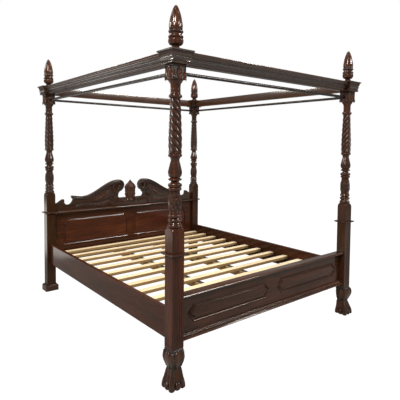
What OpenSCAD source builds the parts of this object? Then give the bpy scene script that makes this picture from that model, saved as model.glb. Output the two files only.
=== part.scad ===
// Carved four-poster canopy bed. Origin on the floor under the middle of the bed,
// +X to the bed's right seen from its foot, +Y towards the headboard, +Z up.

/* [Overall] */
// Distance between post centres across the bed
post_gap_x = 1690; // [1300:10:2050]
// Distance between post centres from foot to head
post_gap_y = 2080; // [1900:10:2300]
// Width of the square post shafts
post_w = 80; // [72:1:95]
// Height of the lower, square length of each post
lower_post_h = 922; // [880:1:1000]
// Floor to the underside of the rails, the headboard and the footboard
rail_z = 257; // [245:1:300]

/* [Feet] */
// Height of the carved foot at the foot end
foot_h = 235; // [200:1:240]
// Width of the carved foot on the floor
foot_w = 104; // [95:1:115]
// Width of the carved foot at its ankle
ankle_w = 66; // [58:1:72]
// Width of the carved foot at its knee
knee_w = 100; // [92:1:108]
// How far the knee and the paw lean out from the shaft, towards the corner of the bed
foot_out = 9; // [4:0.5:12]
// Width of the plinth block around each head post
plinth_w = 115; // [105:1:135]
// Height of the plinth block
plinth_h = 58; // [45:1:90]

/* [Collars] */
// Floor to the top of the collar on the foot posts
foot_collar_z = 778; // [740:1:820]
// Height of a collar
collar_h = 14; // [10:1:22]
// How far a collar stands out from the post
collar_out = 18; // [12:1:24]

/* [Turned posts] */
// Largest radius of the turned rings, vase and bulb
turn_r = 40; // [36:0.5:44]
// Height of the ring stack under the vase
base_rings_h = 87; // [75:1:100]
// Height of the carved vase
vase_h = 123; // [100:1:150]
// Height of the rings between the vase and the bulb
mid_rings_h = 76; // [65:1:90]
// Height of the bulb and its long neck
bulb_h = 112; // [95:1:140]
// Height of the ring that closes each end of the rope twist
twist_ring_h = 22; // [16:1:28]
// Height of the rope twist between its two rings
twist_h = 308; // [240:1:400]
// Strands in the rope twist
twist_strands = 6; // [4:1:8]
// Turns that one strand makes
twist_turns = 1.27; // [0.8:0.01:1.6]
// Depth of the grooves between the strands
twist_depth = 5; // [3:0.5:7]
// Radius of the plain neck above the twist
neck_r = 29; // [24:0.5:32]
// Height of the plain neck
neck_h = 53; // [35:1:80]
// Height of the cup under the capital
cup_h = 27; // [20:1:36]
// Width of the square capital
capital_w = 88; // [78:1:94]
// Height of the square capital
capital_h = 83; // [70:1:100]
// Radius of the spigot that plugs an upper post into its lower post
spigot_r = 18; // [14:0.5:20]
// Length of that spigot
spigot_l = 70; // [50:1:90]

/* [Canopy] */
// Height of the canopy rails
tester_h = 71; // [55:1:90]
// Thickness of the canopy rail behind its cornice
tester_t = 40; // [30:1:50]
// How far the cornice stands out from the rail
cornice_out = 37; // [25:1:45]
// Width of the square plate over each corner
cap_w = 154; // [144:1:170]
// Thickness of that plate above the rails
cap_t = 6; // [4:0.5:10]
// Thickness of the plate where it stands out past the rails
plate_t = 9; // [7:0.5:14]
// Diameter of the curtain rods
rod_d = 22; // [16:1:26]
// Drop from the underside of the canopy to the rod axis
rod_drop = 45; // [30:1:55]
// Depth of the rod socket in a capital
socket_l = 14; // [8:1:18]

/* [Finials] */
// Height of a finial above the canopy corner
finial_h = 252; // [200:1:300]
// Largest radius of a finial
finial_r = 43; // [36:0.5:50]
// Radius of the pin that drops into the canopy corner
pin_r = 8; // [6:0.5:10]
// Length of that pin
pin_l = 45; // [30:1:50]

/* [Rails and slats] */
// Height of the side rails
rail_h = 181; // [150:1:230]
// Thickness of the side rails
rail_t = 28; // [22:1:36]
// How far the side rails sit back from the outer face of the posts
rail_back = 28; // [20:1:34]
// Length of the tenons on rails and boards
tenon_l = 28; // [20:1:34]
// Thickness of the tenons
tenon_t = 12; // [10:1:14]
// Floor to the top of the slats
slat_top_z = 364; // [340:1:400]
// Width of a slat
slat_w = 54; // [45:1:80]
// Thickness of a slat
slat_t = 25; // [18:1:28]
// Post line to the edge of the first and the last slat
slat_end = 14; // [8:1:60]
// Side play between a slat's end and the rail
slat_gap = 6; // [3:1:10]
// Width of the ledgers that carry the slat ends
ledger_w = 22; // [18:1:30]
// Height of the ledgers
ledger_h = 32; // [24:1:40]
// Middle of the bed to the middle of each lengthwise bearer
bearer_x = 232; // [180:1:320]
// Width of the bearers
bearer_w = 48; // [36:1:60]
// Height of the bearers
bearer_h = 50; // [40:1:56]
// How deep the bearer ends are let into the headboard and footboard
bearer_in = 9; // [6:1:12]
// Width of the webbing that keeps the slats apart
tape_w = 40; // [25:1:45]
// Thickness of that webbing
tape_t = 1.5; // [1:0.5:2.5]

/* [Bolts] */
// Radius of the rail bolts
bolt_r = 4; // [3:0.5:5]
// Length of the rail bolts
bolt_l = 100; // [85:1:110]
// Height between the two bolts of one rail end
bolt_gap = 90; // [70:1:95]
// Length of the pocket for the nut
pocket_l = 34; // [30:1:44]
// Size of the nut across its corners
nut_d = 16; // [14:1:20]
// Thickness of the nut
nut_t = 7; // [5:1:9]

/* [Footboard] */
// Height of the footboard over its cap
footboard_h = 265; // [240:1:320]
// Thickness of the footboard
footboard_t = 24; // [24:1:30]
// How far the footboard sits back from the front of the posts
footboard_back = 47; // [42:1:48]
// Thickness of the cap rail
cap_rail_t = 25; // [20:1:30]
// How far the cap rail and the base moulding stand out in front
cap_rail_out = 37; // [28:1:40]
// Height of the base moulding
base_h = 28; // [20:1:34]
// Depth of the rebates that hold the footboard panels
foot_rebate = 12; // [9:1:15]
// Height of the footboard panels
foot_panel_h = 108; // [90:1:140]
// Length of the pointed ends of the footboard panels
bracket_l = 40; // [30:1:50]

/* [Headboard] */
// Height of the shelf moulding over the headboard
shelf_h = 27; // [22:1:34]
// Height of the headboard over its shelf
headboard_h = 485; // [420:1:560]
// Thickness of the headboard
headboard_t = 28; // [26:1:32]
// How far the headboard sits back from the front of the posts
headboard_back = 30; // [26:1:40]
// Height of the headboard panels
head_panel_h = 247; // [200:1:300]
// Bottom of the headboard panels above the headboard's underside
head_panel_rise = 156; // [140:1:165]
// Width of the middle stile between two panels
muntin_w = 76; // [60:1:110]
// Post to the edge of the outer panel end
panel_margin = 89; // [70:1:120]
// Width of the shoulders cut from the panels' top corners
shoulder_w = 28; // [20:1:36]
// Height of those shoulders
shoulder_h = 66; // [50:1:80]
// Depth of the rebates that hold the headboard panels
head_rebate = 14; // [10:1:18]
// Width of the flat border around the raised field of a panel
panel_border = 15; // [10:1:22]
// How far a panel stands in front of its frame
panel_proud = 5; // [3:1:8]

/* [Pediment] */
// Thickness of the pediment board
pediment_t = 22; // [18:1:28]
// How far the pediment board sits behind the headboard's face
pediment_back = 3; // [0:1:6]
// Shelf to the top of the scrolls
scroll_top = 276; // [240:1:320]
// Radius of the scroll ends
scroll_r = 67; // [56:1:72]
// Middle of the bed to the centre of each scroll
scroll_x = 150; // [148:1:180]
// Lowest point of the curved moulding above the shelf
neck_low = 128; // [110:1:145]
// Width of the curved moulding
neck_band = 38; // [28:1:46]
// How far the curved moulding stands out from the board
neck_out = 24; // [16:1:30]
// Post to the outer tip of the curved moulding
neck_inset = 160; // [150:1:180]
// Height of the little waves beside the posts above the shelf
ear_h = 110; // [90:1:120]
// Post to the tip of the wave
ear_w = 95; // [80:1:110]
// Post to the lowest point of the dip beside the wave
dip_w = 128; // [118:1:140]
// Shelf to the foot of the middle finial
acorn_rise = 38; // [30:1:50]
// Height of the middle finial
acorn_h = 230; // [190:1:260]
// Width of the middle finial
acorn_w = 134; // [110:1:138]
// Depth of the middle finial
acorn_d = 70; // [50:1:76]

/* [Hidden] */
fit = 0.05;
clear = 0.4;
footboard_shoulder = 12;
headboard_shoulder = 30;
post_x = post_gap_x / 2;
post_y = post_gap_y / 2;
inner_x = post_x - post_w / 2;
inner_y = post_y - post_w / 2;
turned_z = lower_post_h;
vase_z = turned_z + base_rings_h;
mid_z = vase_z + vase_h;
bulb_z = mid_z + mid_rings_h;
low_ring_z = bulb_z + bulb_h;
twist_z = low_ring_z + twist_ring_h;
top_ring_z = twist_z + twist_h;
neck_z = top_ring_z + twist_ring_h;
cup_z = neck_z + neck_h;
capital_z = cup_z + cup_h;
tester_z = capital_z + capital_h;
tester_top = tester_z + tester_h;
cap_top = tester_top + cap_t;
rod_z = tester_z - rod_drop;
corner_w = max(capital_w + 28, tester_t + 2 * cornice_out + 2);
rail_stub = (corner_w / 2 - spigot_r) * 0.45;
corner_spigot_l = tester_h - pin_l + cap_t > 24 ? 20 : (tester_h - pin_l + cap_t) * 0.8;
rail_out_x = post_x + post_w / 2 - rail_back;
rail_in_x = rail_out_x - rail_t;
slat_z = slat_top_z - slat_t;
slat_l = 2 * (rail_in_x - slat_gap);
slat_count = 12;
slat_pitch = (2 * (inner_y - slat_end) - slat_w) / (slat_count - 1);
bearer_top = slat_z - tape_t;
foot_face_y = -(post_y + post_w / 2 - footboard_back);
foot_in_y = foot_face_y + footboard_t;
head_face_y = post_y - post_w / 2 + headboard_back;
head_back_y = head_face_y + headboard_t;
shelf_top = rail_z + headboard_h;
foot_panel_l = inner_x - panel_margin - muntin_w / 2 + shoulder_w;
head_panel_l = inner_x - panel_margin - muntin_w / 2;
board_y = head_face_y + pediment_back;
scroll_z = scroll_top - scroll_r;
tip_x = inner_x - neck_inset;
slope_x = tip_x - 100;
scoop_r = scroll_r * 0.42;
scoop_x = scroll_x - scroll_r * 0.43;
scoop_z = scroll_z - scroll_r - scoop_r * 1.07;
foot_panel_x = muntin_w / 2 + foot_panel_l / 2;
foot_panel_z = rail_z + base_h + (footboard_h - base_h - cap_rail_t) / 2;
head_panel_x = muntin_w / 2 + head_panel_l / 2;
head_panel_z = rail_z + head_panel_rise;
mahogany = [0.30, 0.12, 0.07];
mahogany_dark = [0.22, 0.09, 0.05];
pine = [0.87, 0.72, 0.48];
steel = [0.55, 0.56, 0.58];
webbing = [0.10, 0.09, 0.08];

// ---- helpers -------------------------------------------------------------------

// Points of a half-round bead from z0 to z1, from radius r0 out to r1 and back
function bead(z0, z1, r0, r1, n = 8) =
  [for (i = [0 : n - 1]) [r0 + (r1 - r0) * sin(180 * i / n), z0 + (z1 - z0) * (1 - cos(180 * i / n)) / 2]];

// Points of a smooth S from radius ra at z0 to radius rb at z1
function ess(z0, z1, ra, rb, n = 8) =
  [for (i = [0 : n - 1]) [ra + (rb - ra) * (1 - cos(180 * i / n)) / 2, z0 + (z1 - z0) * i / n]];

// Points of a quarter curve that leaves ra at z0 steeply and reaches rb at z1 level
function quarter(z0, z1, ra, rb, n = 6) =
  [for (i = [0 : n - 1]) [ra + (rb - ra) * sin(90 * i / n), z0 + (z1 - z0) * (1 - cos(90 * i / n))]];

// A turned solid from its profile of [radius, height] points
module turned(points) {
  last = len(points) - 1;
  rotate_extrude($fn = 64)
    polygon(concat([[0, points[0][1]]], points, [[0, points[last][1]]]));
}

// A square moulding mitred at its corners from its profile of [half width, height] points
module mitred(points) {
  last = len(points) - 1;
  outline = concat(points, [for (i = [last : -1 : 0]) [-points[i][0], points[i][1]]]);
  reach = 2 * max([for (p = points) p[0]]) + 2;
  intersection() {
    rotate([90, 0, 0]) linear_extrude(height = reach, center = true) polygon(outline);
    rotate([90, 0, 90]) linear_extrude(height = reach, center = true) polygon(outline);
  }
}

// A box from its lowest and highest corners
module slab(low, high) {
  translate(low) cube(high - low);
}

// Moves a piece made at the origin to a post. side is -1 left or 1 right, end is -1 foot or 1 head.
module at_post(side, end) {
  translate([side * post_x, end * post_y, 0])
    mirror([side > 0 ? 1 : 0, 0, 0]) mirror([0, end > 0 ? 1 : 0, 0]) children();
}

// A loft through rings of points that all have the same count, as one closed solid
module loft(rings) {
  n = len(rings[0]);
  m = len(rings);
  points = [for (ring = rings) each ring];
  sides = [for (j = [0 : m - 2], i = [0 : n - 1]) let (a = j * n + i, b = j * n + (i + 1) % n)
    each [[a, a + n, b], [b, a + n, b + n]]];
  floor_face = [[for (i = [0 : n - 1]) i]];
  top_face = [[for (i = [n - 1 : -1 : 0]) (m - 1) * n + i]];
  polyhedron(points = points, faces = concat(sides, floor_face, top_face), convexity = 4);
}

// ---- posts ---------------------------------------------------------------------

// Half width of the carved foot at a height: paw, ankle and knee
function foot_half(z) = lookup(z / foot_h, [
  [0, foot_w * 0.5], [0.1, foot_w * 0.49], [0.22, foot_w * 0.44], [0.34, (foot_w + ankle_w) * 0.22],
  [0.45, ankle_w / 2], [0.55, (knee_w + ankle_w) * 0.23], [0.66, knee_w * 0.46],
  [0.77, knee_w / 2], [0.9, knee_w * 0.47], [1, post_w / 2]]);

// How far the foot's ring at a height is moved out towards the corner of the bed
function foot_lean(z) = foot_out * lookup(z / foot_h, [
  [0, 1], [0.2, 0.9], [0.45, 0], [0.72, 0.9], [0.86, 0.85], [0.97, 0]]);

// A square ring with slightly rounded corners, 20 points, at a height. The power sets how square it is.
function foot_ring(z) = let (h = foot_half(z), lean = foot_lean(z), power = 10)
  [for (i = [0 : 19]) let (a = 18 * i + 9,
    k = h * pow(pow(abs(cos(a)), power) + pow(abs(sin(a)), power), -1 / power))
    [k * cos(a) - lean, k * sin(a) - lean, z]];

module carved_foot() {
  levels = 18;
  loft([for (i = [0 : levels]) foot_ring(foot_h * i / levels)]);
}

// Square shaft whose top is rounded over to meet the first ring
module shaft(bottom) {
  shoulder = post_w / 2 * sqrt(2);
  intersection() {
    slab([-post_w / 2, -post_w / 2, bottom], [post_w / 2, post_w / 2, lower_post_h]);
    turned(concat([[shoulder + 1, bottom - 1], [shoulder + 1, lower_post_h - 46]],
      [for (i = [1 : 8]) [turn_r - 2 + (shoulder + 1 - turn_r + 2) * cos(90 * i / 8),
        lower_post_h - 46 + 46 * sin(90 * i / 8)]]));
  }
}

// Holes that every lower post has: spigot bore, side rail mortise and its bolt holes
module post_holes() {
  rail_x = -(post_w / 2 - rail_back - rail_t / 2);
  translate([0, 0, lower_post_h - spigot_l - 1]) cylinder(r = spigot_r + fit, h = spigot_l + 2, $fn = 64);
  slab([rail_x - tenon_t / 2 - clear, post_w / 2 - tenon_l - 1, rail_z + rail_h * 0.12 - clear],
    [rail_x + tenon_t / 2 + clear, post_w / 2 + 1, rail_z + rail_h * 0.88 + clear]);
  for (k = [-1, 1]) translate([rail_x, post_w / 2 - tenon_l - 26, rail_z + rail_h / 2 + k * bolt_gap / 2])
    rotate([-90, 0, 0]) cylinder(r = bolt_r + fit, h = 30, $fn = 32);
}

// Mortise for a board that meets the post's inner side. low and high are board heights, y the tenon's middle.
module board_mortise(y, low, high) {
  slab([post_w / 2 - tenon_l - 1, y - tenon_t / 2 - clear, low - clear],
    [post_w / 2 + 1, y + tenon_t / 2 + clear, high + clear]);
}

module foot_post(side) {
  y = post_y + foot_face_y + footboard_t / 2;
  color(mahogany) at_post(side, -1) difference() {
    union() {
      carved_foot();
      shaft(foot_h - 1);
    }
    post_holes();
    board_mortise(y, rail_z + base_h, rail_z + footboard_h - cap_rail_t - footboard_shoulder);
  }
}

module head_post(side) {
  y = post_y - head_face_y - headboard_t / 2;
  color(mahogany) at_post(side, 1) difference() {
    shaft(0);
    post_holes();
    board_mortise(y, rail_z + headboard_shoulder, shelf_top - shelf_h - headboard_shoulder);
  }
}

// Envelope of the rope twist, t from 0 at its foot to 1 at its top
function twist_r(t) = t < 0.2
  ? turn_r - 2.8 + 9 * t
  : turn_r - 1 - (turn_r - 1 - neck_r) * pow((t - 0.2) / 0.8, 1.3);

// One ring of the twist: rounded strands with sharp valleys, turned with height one way (1) or the other (-1)
function twist_ring(j, levels, hand) = let (t = j / levels, n = 6 * twist_strands)
  [for (i = [0 : n - 1]) let (a = 360 * i / n, turn = -360 * hand * twist_turns * t,
    r = twist_r(t) - twist_depth * (1 - abs(sin(twist_strands * a / 2))))
    [r * cos(a + turn), r * sin(a + turn), twist_z - 1 + (twist_h + 2) * t]];

module rope_twist(hand) {
  levels = 30;
  loft([for (j = [0 : levels]) twist_ring(j, levels, hand)]);
}

// Profile from the first ring up to the foot of the twist
function lower_turning() = let (
  b = base_rings_h / 87, v = vase_h / 123, m = mid_rings_h / 76, u = bulb_h / 112) concat(
  bead(turned_z, turned_z + 21 * b, turn_r - 6, turn_r + 1.5),
  ess(turned_z + 21 * b, turned_z + 32 * b, turn_r - 6, turn_r - 10, 3),
  bead(turned_z + 32 * b, turned_z + 52 * b, turn_r - 10, turn_r),
  ess(turned_z + 52 * b, turned_z + 58 * b, turn_r - 10, turn_r - 13, 3),
  [[turn_r - 2, turned_z + 61 * b], [turn_r - 0.5, turned_z + 66 * b], [turn_r - 1.5, turned_z + 69 * b]],
  [for (i = [1 : 5]) [turn_r - 1.5 - 6 * sin(15 * i), vase_z - 18 * b * cos(18 * i)]],
  ess(vase_z + 1, vase_z + 36 * v, turn_r - 7.5, turn_r, 7),
  ess(vase_z + 60 * v, mid_z, turn_r, turn_r - 11.5, 8),
  bead(mid_z, mid_z + 20 * m, turn_r - 11.5, turn_r - 2),
  [[turn_r - 6, mid_z + 20.5 * m]],
  bead(mid_z + 21 * m, mid_z + 41 * m, turn_r - 6, turn_r),
  ess(mid_z + 41 * m, mid_z + 50 * m, turn_r - 9, turn_r - 18, 5),
  ess(mid_z + 51 * m, mid_z + 55 * m, turn_r - 18, turn_r - 12, 3),
  bead(mid_z + 55 * m, mid_z + 73 * m, turn_r - 12, turn_r - 2.5),
  [[turn_r - 13, mid_z + 74 * m]],
  quarter(bulb_z, bulb_z + 30 * u, turn_r - 12, turn_r),
  ess(bulb_z + 30 * u, bulb_z + 94 * u, turn_r, turn_r - 15.5, 10),
  ess(bulb_z + 97 * u, low_ring_z, turn_r - 15.5, turn_r - 11, 4),
  bead(low_ring_z, twist_z, turn_r - 11, turn_r - 0.5),
  [[turn_r - 11, twist_z]]);

// Profile of the ring, neck and cup above the twist
function upper_turning() = concat(
  bead(top_ring_z, neck_z, neck_r - 1, turn_r - 2),
  [[neck_r, neck_z], [neck_r, cup_z - 1]],
  ess(cup_z, cup_z + cup_h * 0.8, neck_r, capital_w / 2 - 3, 8),
  [[capital_w / 2 - 3, cup_z + cup_h * 0.85], [capital_w / 2 - 3, capital_z + 1]]);

// Square capital with leaf tips that flare at its lower corners
module capital() {
  mitred([[capital_w / 2 - 1, capital_z], [capital_w / 2 + 2, capital_z + 3], [capital_w / 2, capital_z + 14],
    [capital_w / 2 - 2, capital_z + 30], [capital_w / 2 - 1, tester_z - 12], [capital_w / 2, tester_z - 10],
    [capital_w / 2, tester_z]]);
}

// The twists are a pair from left to right only, so the ones at the head undo the turn that at_post gives them
module upper_post(side, end) {
  color(mahogany) at_post(side, end) difference() {
    union() {
      translate([0, 0, turned_z - spigot_l]) cylinder(r = spigot_r, h = spigot_l + 1, $fn = 64);
      turned(lower_turning());
      rope_twist(-end);
      turned(upper_turning());
      capital();
      translate([0, 0, tester_z - 1]) cylinder(r = spigot_r, h = corner_spigot_l + 1, $fn = 64);
    }
    translate([0, 0, rod_z]) rotate([-90, 0, 0]) translate([0, 0, capital_w / 2 - socket_l - 3])
      cylinder(d = rod_d + 2 * fit, h = socket_l + 8, $fn = 48);
    translate([0, 0, rod_z]) rotate([0, 90, 0]) translate([0, 0, capital_w / 2 - socket_l - 3])
      cylinder(d = rod_d + 2 * fit, h = socket_l + 8, $fn = 48);
  }
}

// Moulding that wraps the square shaft, its top at height top
module collar(top) {
  half = post_w / 2;
  difference() {
    mitred([[half + collar_out * 0.3, top - collar_h], [half + collar_out * 0.6, top - collar_h * 0.8],
      [half + collar_out * 0.85, top - collar_h * 0.7], [half + collar_out, top - collar_h * 0.6],
      [half + collar_out, top - collar_h * 0.15], [half + collar_out * 0.9, top]]);
    slab([-half, -half, top - collar_h - 1], [half, half, top + 1]);
  }
}

module foot_collars() {
  color(mahogany_dark) for (side = [-1, 1]) at_post(side, -1) collar(foot_collar_z);
}

module head_collars() {
  color(mahogany_dark) for (side = [-1, 1]) at_post(side, 1) collar(shelf_top);
}

module head_plinth(side) {
  color(mahogany_dark) at_post(side, 1) difference() {
    mitred([[plinth_w / 2, 0], [plinth_w / 2, plinth_h - 10], [plinth_w / 2 - 4, plinth_h - 6],
      [plinth_w / 2 - 8, plinth_h]]);
    slab([-post_w / 2, -post_w / 2, -1], [post_w / 2, post_w / 2, plinth_h + 1]);
  }
}

// ---- canopy --------------------------------------------------------------------

// Cornice outline seen from the rail's end: x is out from the post line, y is height
function cornice(out) = let (f = tester_t / 2, z = tester_z, h = tester_h) [
  [-f, z], [f, z], [f + out * 0.12, z + h * 0.03], [f + out * 0.12, z + h * 0.16],
  [f + out * 0.22, z + h * 0.20], [f + out * 0.30, z + h * 0.32], [f + out * 0.30, z + h * 0.40],
  [f + out * 0.44, z + h * 0.44], [f + out * 0.52, z + h * 0.54], [f + out * 0.66, z + h * 0.64],
  [f + out * 0.86, z + h * 0.74], [f + out * 0.90, z + h * 0.80], [f + out, z + h * 0.84],
  [f + out, z + h], [-f, z + h]];

// The rail's plain core, which runs on into the corner blocks, grown by gap
module rail_core(length, gap) {
  slab([-length / 2, -tester_t / 2 - gap, tester_z + 6 - gap],
    [length / 2, tester_t / 2 + gap, tester_z + tester_h * 0.56 + gap]);
}

// A straight canopy rail along X, its cornice towards -Y, with its two stub ends
module tester_rail(length) {
  rotate([90, 0, -90]) linear_extrude(height = length, center = true) polygon(cornice(cornice_out));
  rail_core(length + 2 * rail_stub, 0);
}

module tester_rail_end(end) {
  color(mahogany) translate([0, end * post_y, 0]) mirror([0, end > 0 ? 1 : 0, 0])
    tester_rail(post_gap_x - corner_w);
}

module tester_rail_side(side) {
  color(mahogany) translate([side * post_x, 0, 0]) rotate([0, 0, side * 90])
    tester_rail(post_gap_y - corner_w);
}

// Corner block with its own breakout of the cornice, three beads and a square plate on top
module tester_corner(side, end) {
  half = corner_w / 2;
  out = cap_w / 2 - half;
  z = tester_z;
  h = tester_h;
  plate_z = cap_top - plate_t;
  color(mahogany_dark) at_post(side, end) difference() {
    mitred([[half + out * 0.1, z], [half + out * 0.2, z + h * 0.02], [half + out * 0.2, z + h * 0.06],
      [half, z + h * 0.09], [half, z + h * 0.15], [half + out * 0.2, z + h * 0.17],
      [half + out * 0.25, z + h * 0.21], [half + out * 0.05, z + h * 0.25], [half + out * 0.05, z + h * 0.34],
      [half + out * 0.25, z + h * 0.41], [half + out * 0.42, z + h * 0.45], [half + out * 0.42, z + h * 0.49],
      [half + out * 0.2, z + h * 0.53], [half + out * 0.25, z + h * 0.62], [half + out * 0.5, z + h * 0.76],
      [half + out * 0.6, z + h * 0.83], [half + out * 0.6, plate_z], [half + out, plate_z],
      [half + out, cap_top]]);
    translate([0, 0, tester_z - 1]) cylinder(r = spigot_r + fit, h = corner_spigot_l + 2, $fn = 64);
    translate([0, 0, cap_top - pin_l - 1]) cylinder(r = pin_r + fit, h = pin_l + 2, $fn = 48);
    rail_pocket();
    mirror([1, -1, 0]) rail_pocket();
  }
}

// Room in a corner block for the cornice and the stub of the rail that leaves it along X
module rail_pocket() {
  half = corner_w / 2;
  translate([half, 0, 0]) rotate([90, 0, 90]) linear_extrude(height = cap_w)
    polygon([for (p = cornice(cornice_out + clear)) [-p[0], p[1]]]);
  translate([half, 0, 0]) rail_core(2 * rail_stub + 1, clear / 2);
}

// Foot, ball, two rings and the long nut of a finial. The levels are for a height of 252 and scale with it.
module finial(side, end) {
  k = finial_h / 252;
  z = cap_top;
  nut_z = z + 119 * k;
  nut_r = finial_r - 4.5;
  color(mahogany_dark) at_post(side, end) {
    turned(concat([[finial_r - 6, z], [finial_r - 4, z + 4 * k], [finial_r - 12, z + 8 * k]],
      ess(z + 10 * k, z + 22 * k, finial_r - 14, finial_r - 23, 4),
      [[finial_r - 22, z + 26 * k]],
      quarter(z + 30 * k, z + 54 * k, finial_r - 17, finial_r),
      [[finial_r, z + 58 * k], [finial_r - 5, z + 68 * k]],
      bead(z + 69 * k, z + 83 * k, finial_r - 5, finial_r - 0.5),
      [[finial_r - 8, z + 85 * k], [finial_r - 8, z + 97 * k]],
      bead(z + 98 * k, z + 112 * k, finial_r - 7, finial_r - 1),
      [[finial_r - 7, z + 114 * k], [nut_r, nut_z]],
      [for (i = [1 : 12]) [nut_r * pow(cos(89 * i / 12), 0.62), nut_z + (z + finial_h - nut_z) * i / 12]]));
    translate([0, 0, z - pin_l]) cylinder(r = pin_r, h = pin_l + 1, $fn = 48);
  }
}

module curtain_rods_side() {
  l = post_gap_y - capital_w + 2 * socket_l;
  color(mahogany_dark) for (side = [-1, 1])
    translate([side * post_x, 0, rod_z]) rotate([90, 0, 0])
      cylinder(d = rod_d, h = l, center = true, $fn = 48);
}

module curtain_rods_end() {
  l = post_gap_x - capital_w + 2 * socket_l;
  color(mahogany_dark) for (end = [-1, 1])
    translate([0, end * post_y, rod_z]) rotate([0, 90, 0])
      cylinder(d = rod_d, h = l, center = true, $fn = 48);
}

// ---- rails, slats and bearers ---------------------------------------------------

module side_rail(side) {
  mid = rail_out_x - rail_t / 2;
  end_y = inner_y;
  bolt_end = end_y + 24;
  color(mahogany) mirror([side > 0 ? 0 : 1, 0, 0]) difference() {
    union() {
      slab([rail_in_x, -end_y, rail_z], [rail_out_x, end_y, rail_z + rail_h]);
      slab([mid - tenon_t / 2, -end_y - tenon_l, rail_z + rail_h * 0.12],
        [mid + tenon_t / 2, end_y + tenon_l, rail_z + rail_h * 0.88]);
    }
    for (end = [-1, 1], k = [-1, 1])
      translate([mid, end * bolt_end, rail_z + rail_h / 2 + k * bolt_gap / 2]) {
        rotate([end * 90, 0, 0]) translate([0, 0, -tenon_l])
          cylinder(r = bolt_r + fit, h = bolt_l + tenon_l, $fn = 32);
        translate([-rail_t, end * (24 - bolt_l) - pocket_l / 2, -nut_d / 2 - 2])
          cube([rail_t + nut_d / 2 + 1, pocket_l, nut_d + 4]);
      }
  }
}

// Bolts and nuts that draw each rail end against its post
module rail_bolts() {
  mid = rail_out_x - rail_t / 2;
  color(steel) for (side = [-1, 1], end = [-1, 1], k = [-1, 1])
    translate([side * mid, end * (inner_y + 48 - bolt_l), rail_z + rail_h / 2 + k * bolt_gap / 2])
      rotate([-end * 90, 0, 0]) {
        translate([0, 0, -6]) cylinder(r = bolt_r, h = bolt_l + 6, $fn = 32);
        translate([0, 0, 2]) cylinder(d = nut_d, h = nut_t, $fn = 6);
      }
}

module slat_ledger(side) {
  end_y = inner_y - slat_end / 2;
  color(mahogany) mirror([side > 0 ? 0 : 1, 0, 0])
    slab([rail_in_x - ledger_w, -end_y, slat_z - ledger_h], [rail_in_x, end_y, slat_z]);
}

// Slat number n, counted from the head
module slat(n) {
  y = (slat_count + 1 - 2 * n) * slat_pitch / 2;
  color(pine) slab([-slat_l / 2, y - slat_w / 2, slat_z], [slat_l / 2, y + slat_w / 2, slat_top_z]);
}

module slat_tapes() {
  reach = (slat_count - 1) * slat_pitch / 2 + slat_w / 2;
  color(webbing) for (side = [-1, 1])
    slab([side * bearer_x - tape_w / 2, -reach, slat_z - tape_t],
      [side * bearer_x + tape_w / 2, reach, slat_z]);
}

// Space of one bearer, grown by a gap at its sides for the housing that takes its end
module bearer_bar(side, gap) {
  slab([side * bearer_x - bearer_w / 2 - gap, foot_in_y - bearer_in - gap, bearer_top - bearer_h - gap],
    [side * bearer_x + bearer_w / 2 + gap, head_face_y + bearer_in + gap, bearer_top + gap]);
}

module bearer(side) {
  color(pine) bearer_bar(side, 0);
}

// ---- footboard -----------------------------------------------------------------

// Outline of a footboard panel of a length, pointed at both ends, shrunk by inset
function bracket_panel(l, h, inset) = let (a = l / 2 - bracket_l - inset, b = h / 2 - inset, c = bracket_l)
  concat(
    [for (i = [0 : 5]) [a + c * (0.5 - 0.5 * cos(36 * i)) * 0.9 + (i == 5 ? c * 0.1 : 0), -b * (1 - i / 5)]],
    [for (i = [4 : -1 : 0]) [a + c * (0.5 - 0.5 * cos(36 * i)) * 0.9, b * (1 - i / 5)]],
    [for (i = [0 : 5]) [-a - c * (0.5 - 0.5 * cos(36 * i)) * 0.9 - (i == 5 ? c * 0.1 : 0), b * (1 - i / 5)]],
    [for (i = [4 : -1 : 0]) [-a - c * (0.5 - 0.5 * cos(36 * i)) * 0.9, -b * (1 - i / 5)]]);

// Places an upright outline, drawn in X and Z, so that its solid runs from y0 to y1
module upright(y0, y1) {
  translate([0, y1, 0]) rotate([90, 0, 0]) linear_extrude(height = y1 - y0) children();
}

module footboard_panel_shape(side, inset) {
  translate([side * foot_panel_x, foot_panel_z]) polygon(bracket_panel(foot_panel_l, foot_panel_h, inset));
}

module footboard_frame() {
  top = rail_z + footboard_h - cap_rail_t;
  mid_y = foot_face_y + footboard_t / 2;
  color(mahogany) difference() {
    union() {
      slab([-inner_x, foot_face_y, rail_z], [inner_x, foot_in_y, top]);
      slab([-inner_x - tenon_l, mid_y - tenon_t / 2, rail_z + base_h],
        [inner_x + tenon_l, mid_y + tenon_t / 2, top - footboard_shoulder]);
    }
    for (side = [-1, 1]) {
      upright(foot_face_y - 1, foot_face_y + foot_rebate + clear / 2) footboard_panel_shape(side, 0);
      bearer_bar(side, clear / 2);
    }
  }
}

module footboard_panel(side) {
  color(mahogany) union() {
    upright(foot_face_y + foot_rebate / 4, foot_face_y + foot_rebate) footboard_panel_shape(side, clear / 2);
    upright(foot_face_y - panel_proud, foot_face_y + foot_rebate / 3)
      footboard_panel_shape(side, panel_border);
  }
}

// Cap rail outline: x is out in front of the footboard's face, y is height from the cap's underside
module footboard_cap() {
  top = rail_z + footboard_h;
  low = top - cap_rail_t;
  out = cap_rail_out;
  back = -footboard_t - 3;
  color(mahogany_dark) translate([0, foot_face_y, 0]) rotate([90, 0, -90])
    linear_extrude(height = 2 * inner_x, center = true)
      polygon([[back, low], [out * 0.3, low], [out * 0.42, low + cap_rail_t * 0.22],
        [out * 0.72, low + cap_rail_t * 0.38], [out * 0.8, low + cap_rail_t * 0.5],
        [out, low + cap_rail_t * 0.56], [out, top - 4], [out - 4, top], [back, top]]);
}

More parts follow.
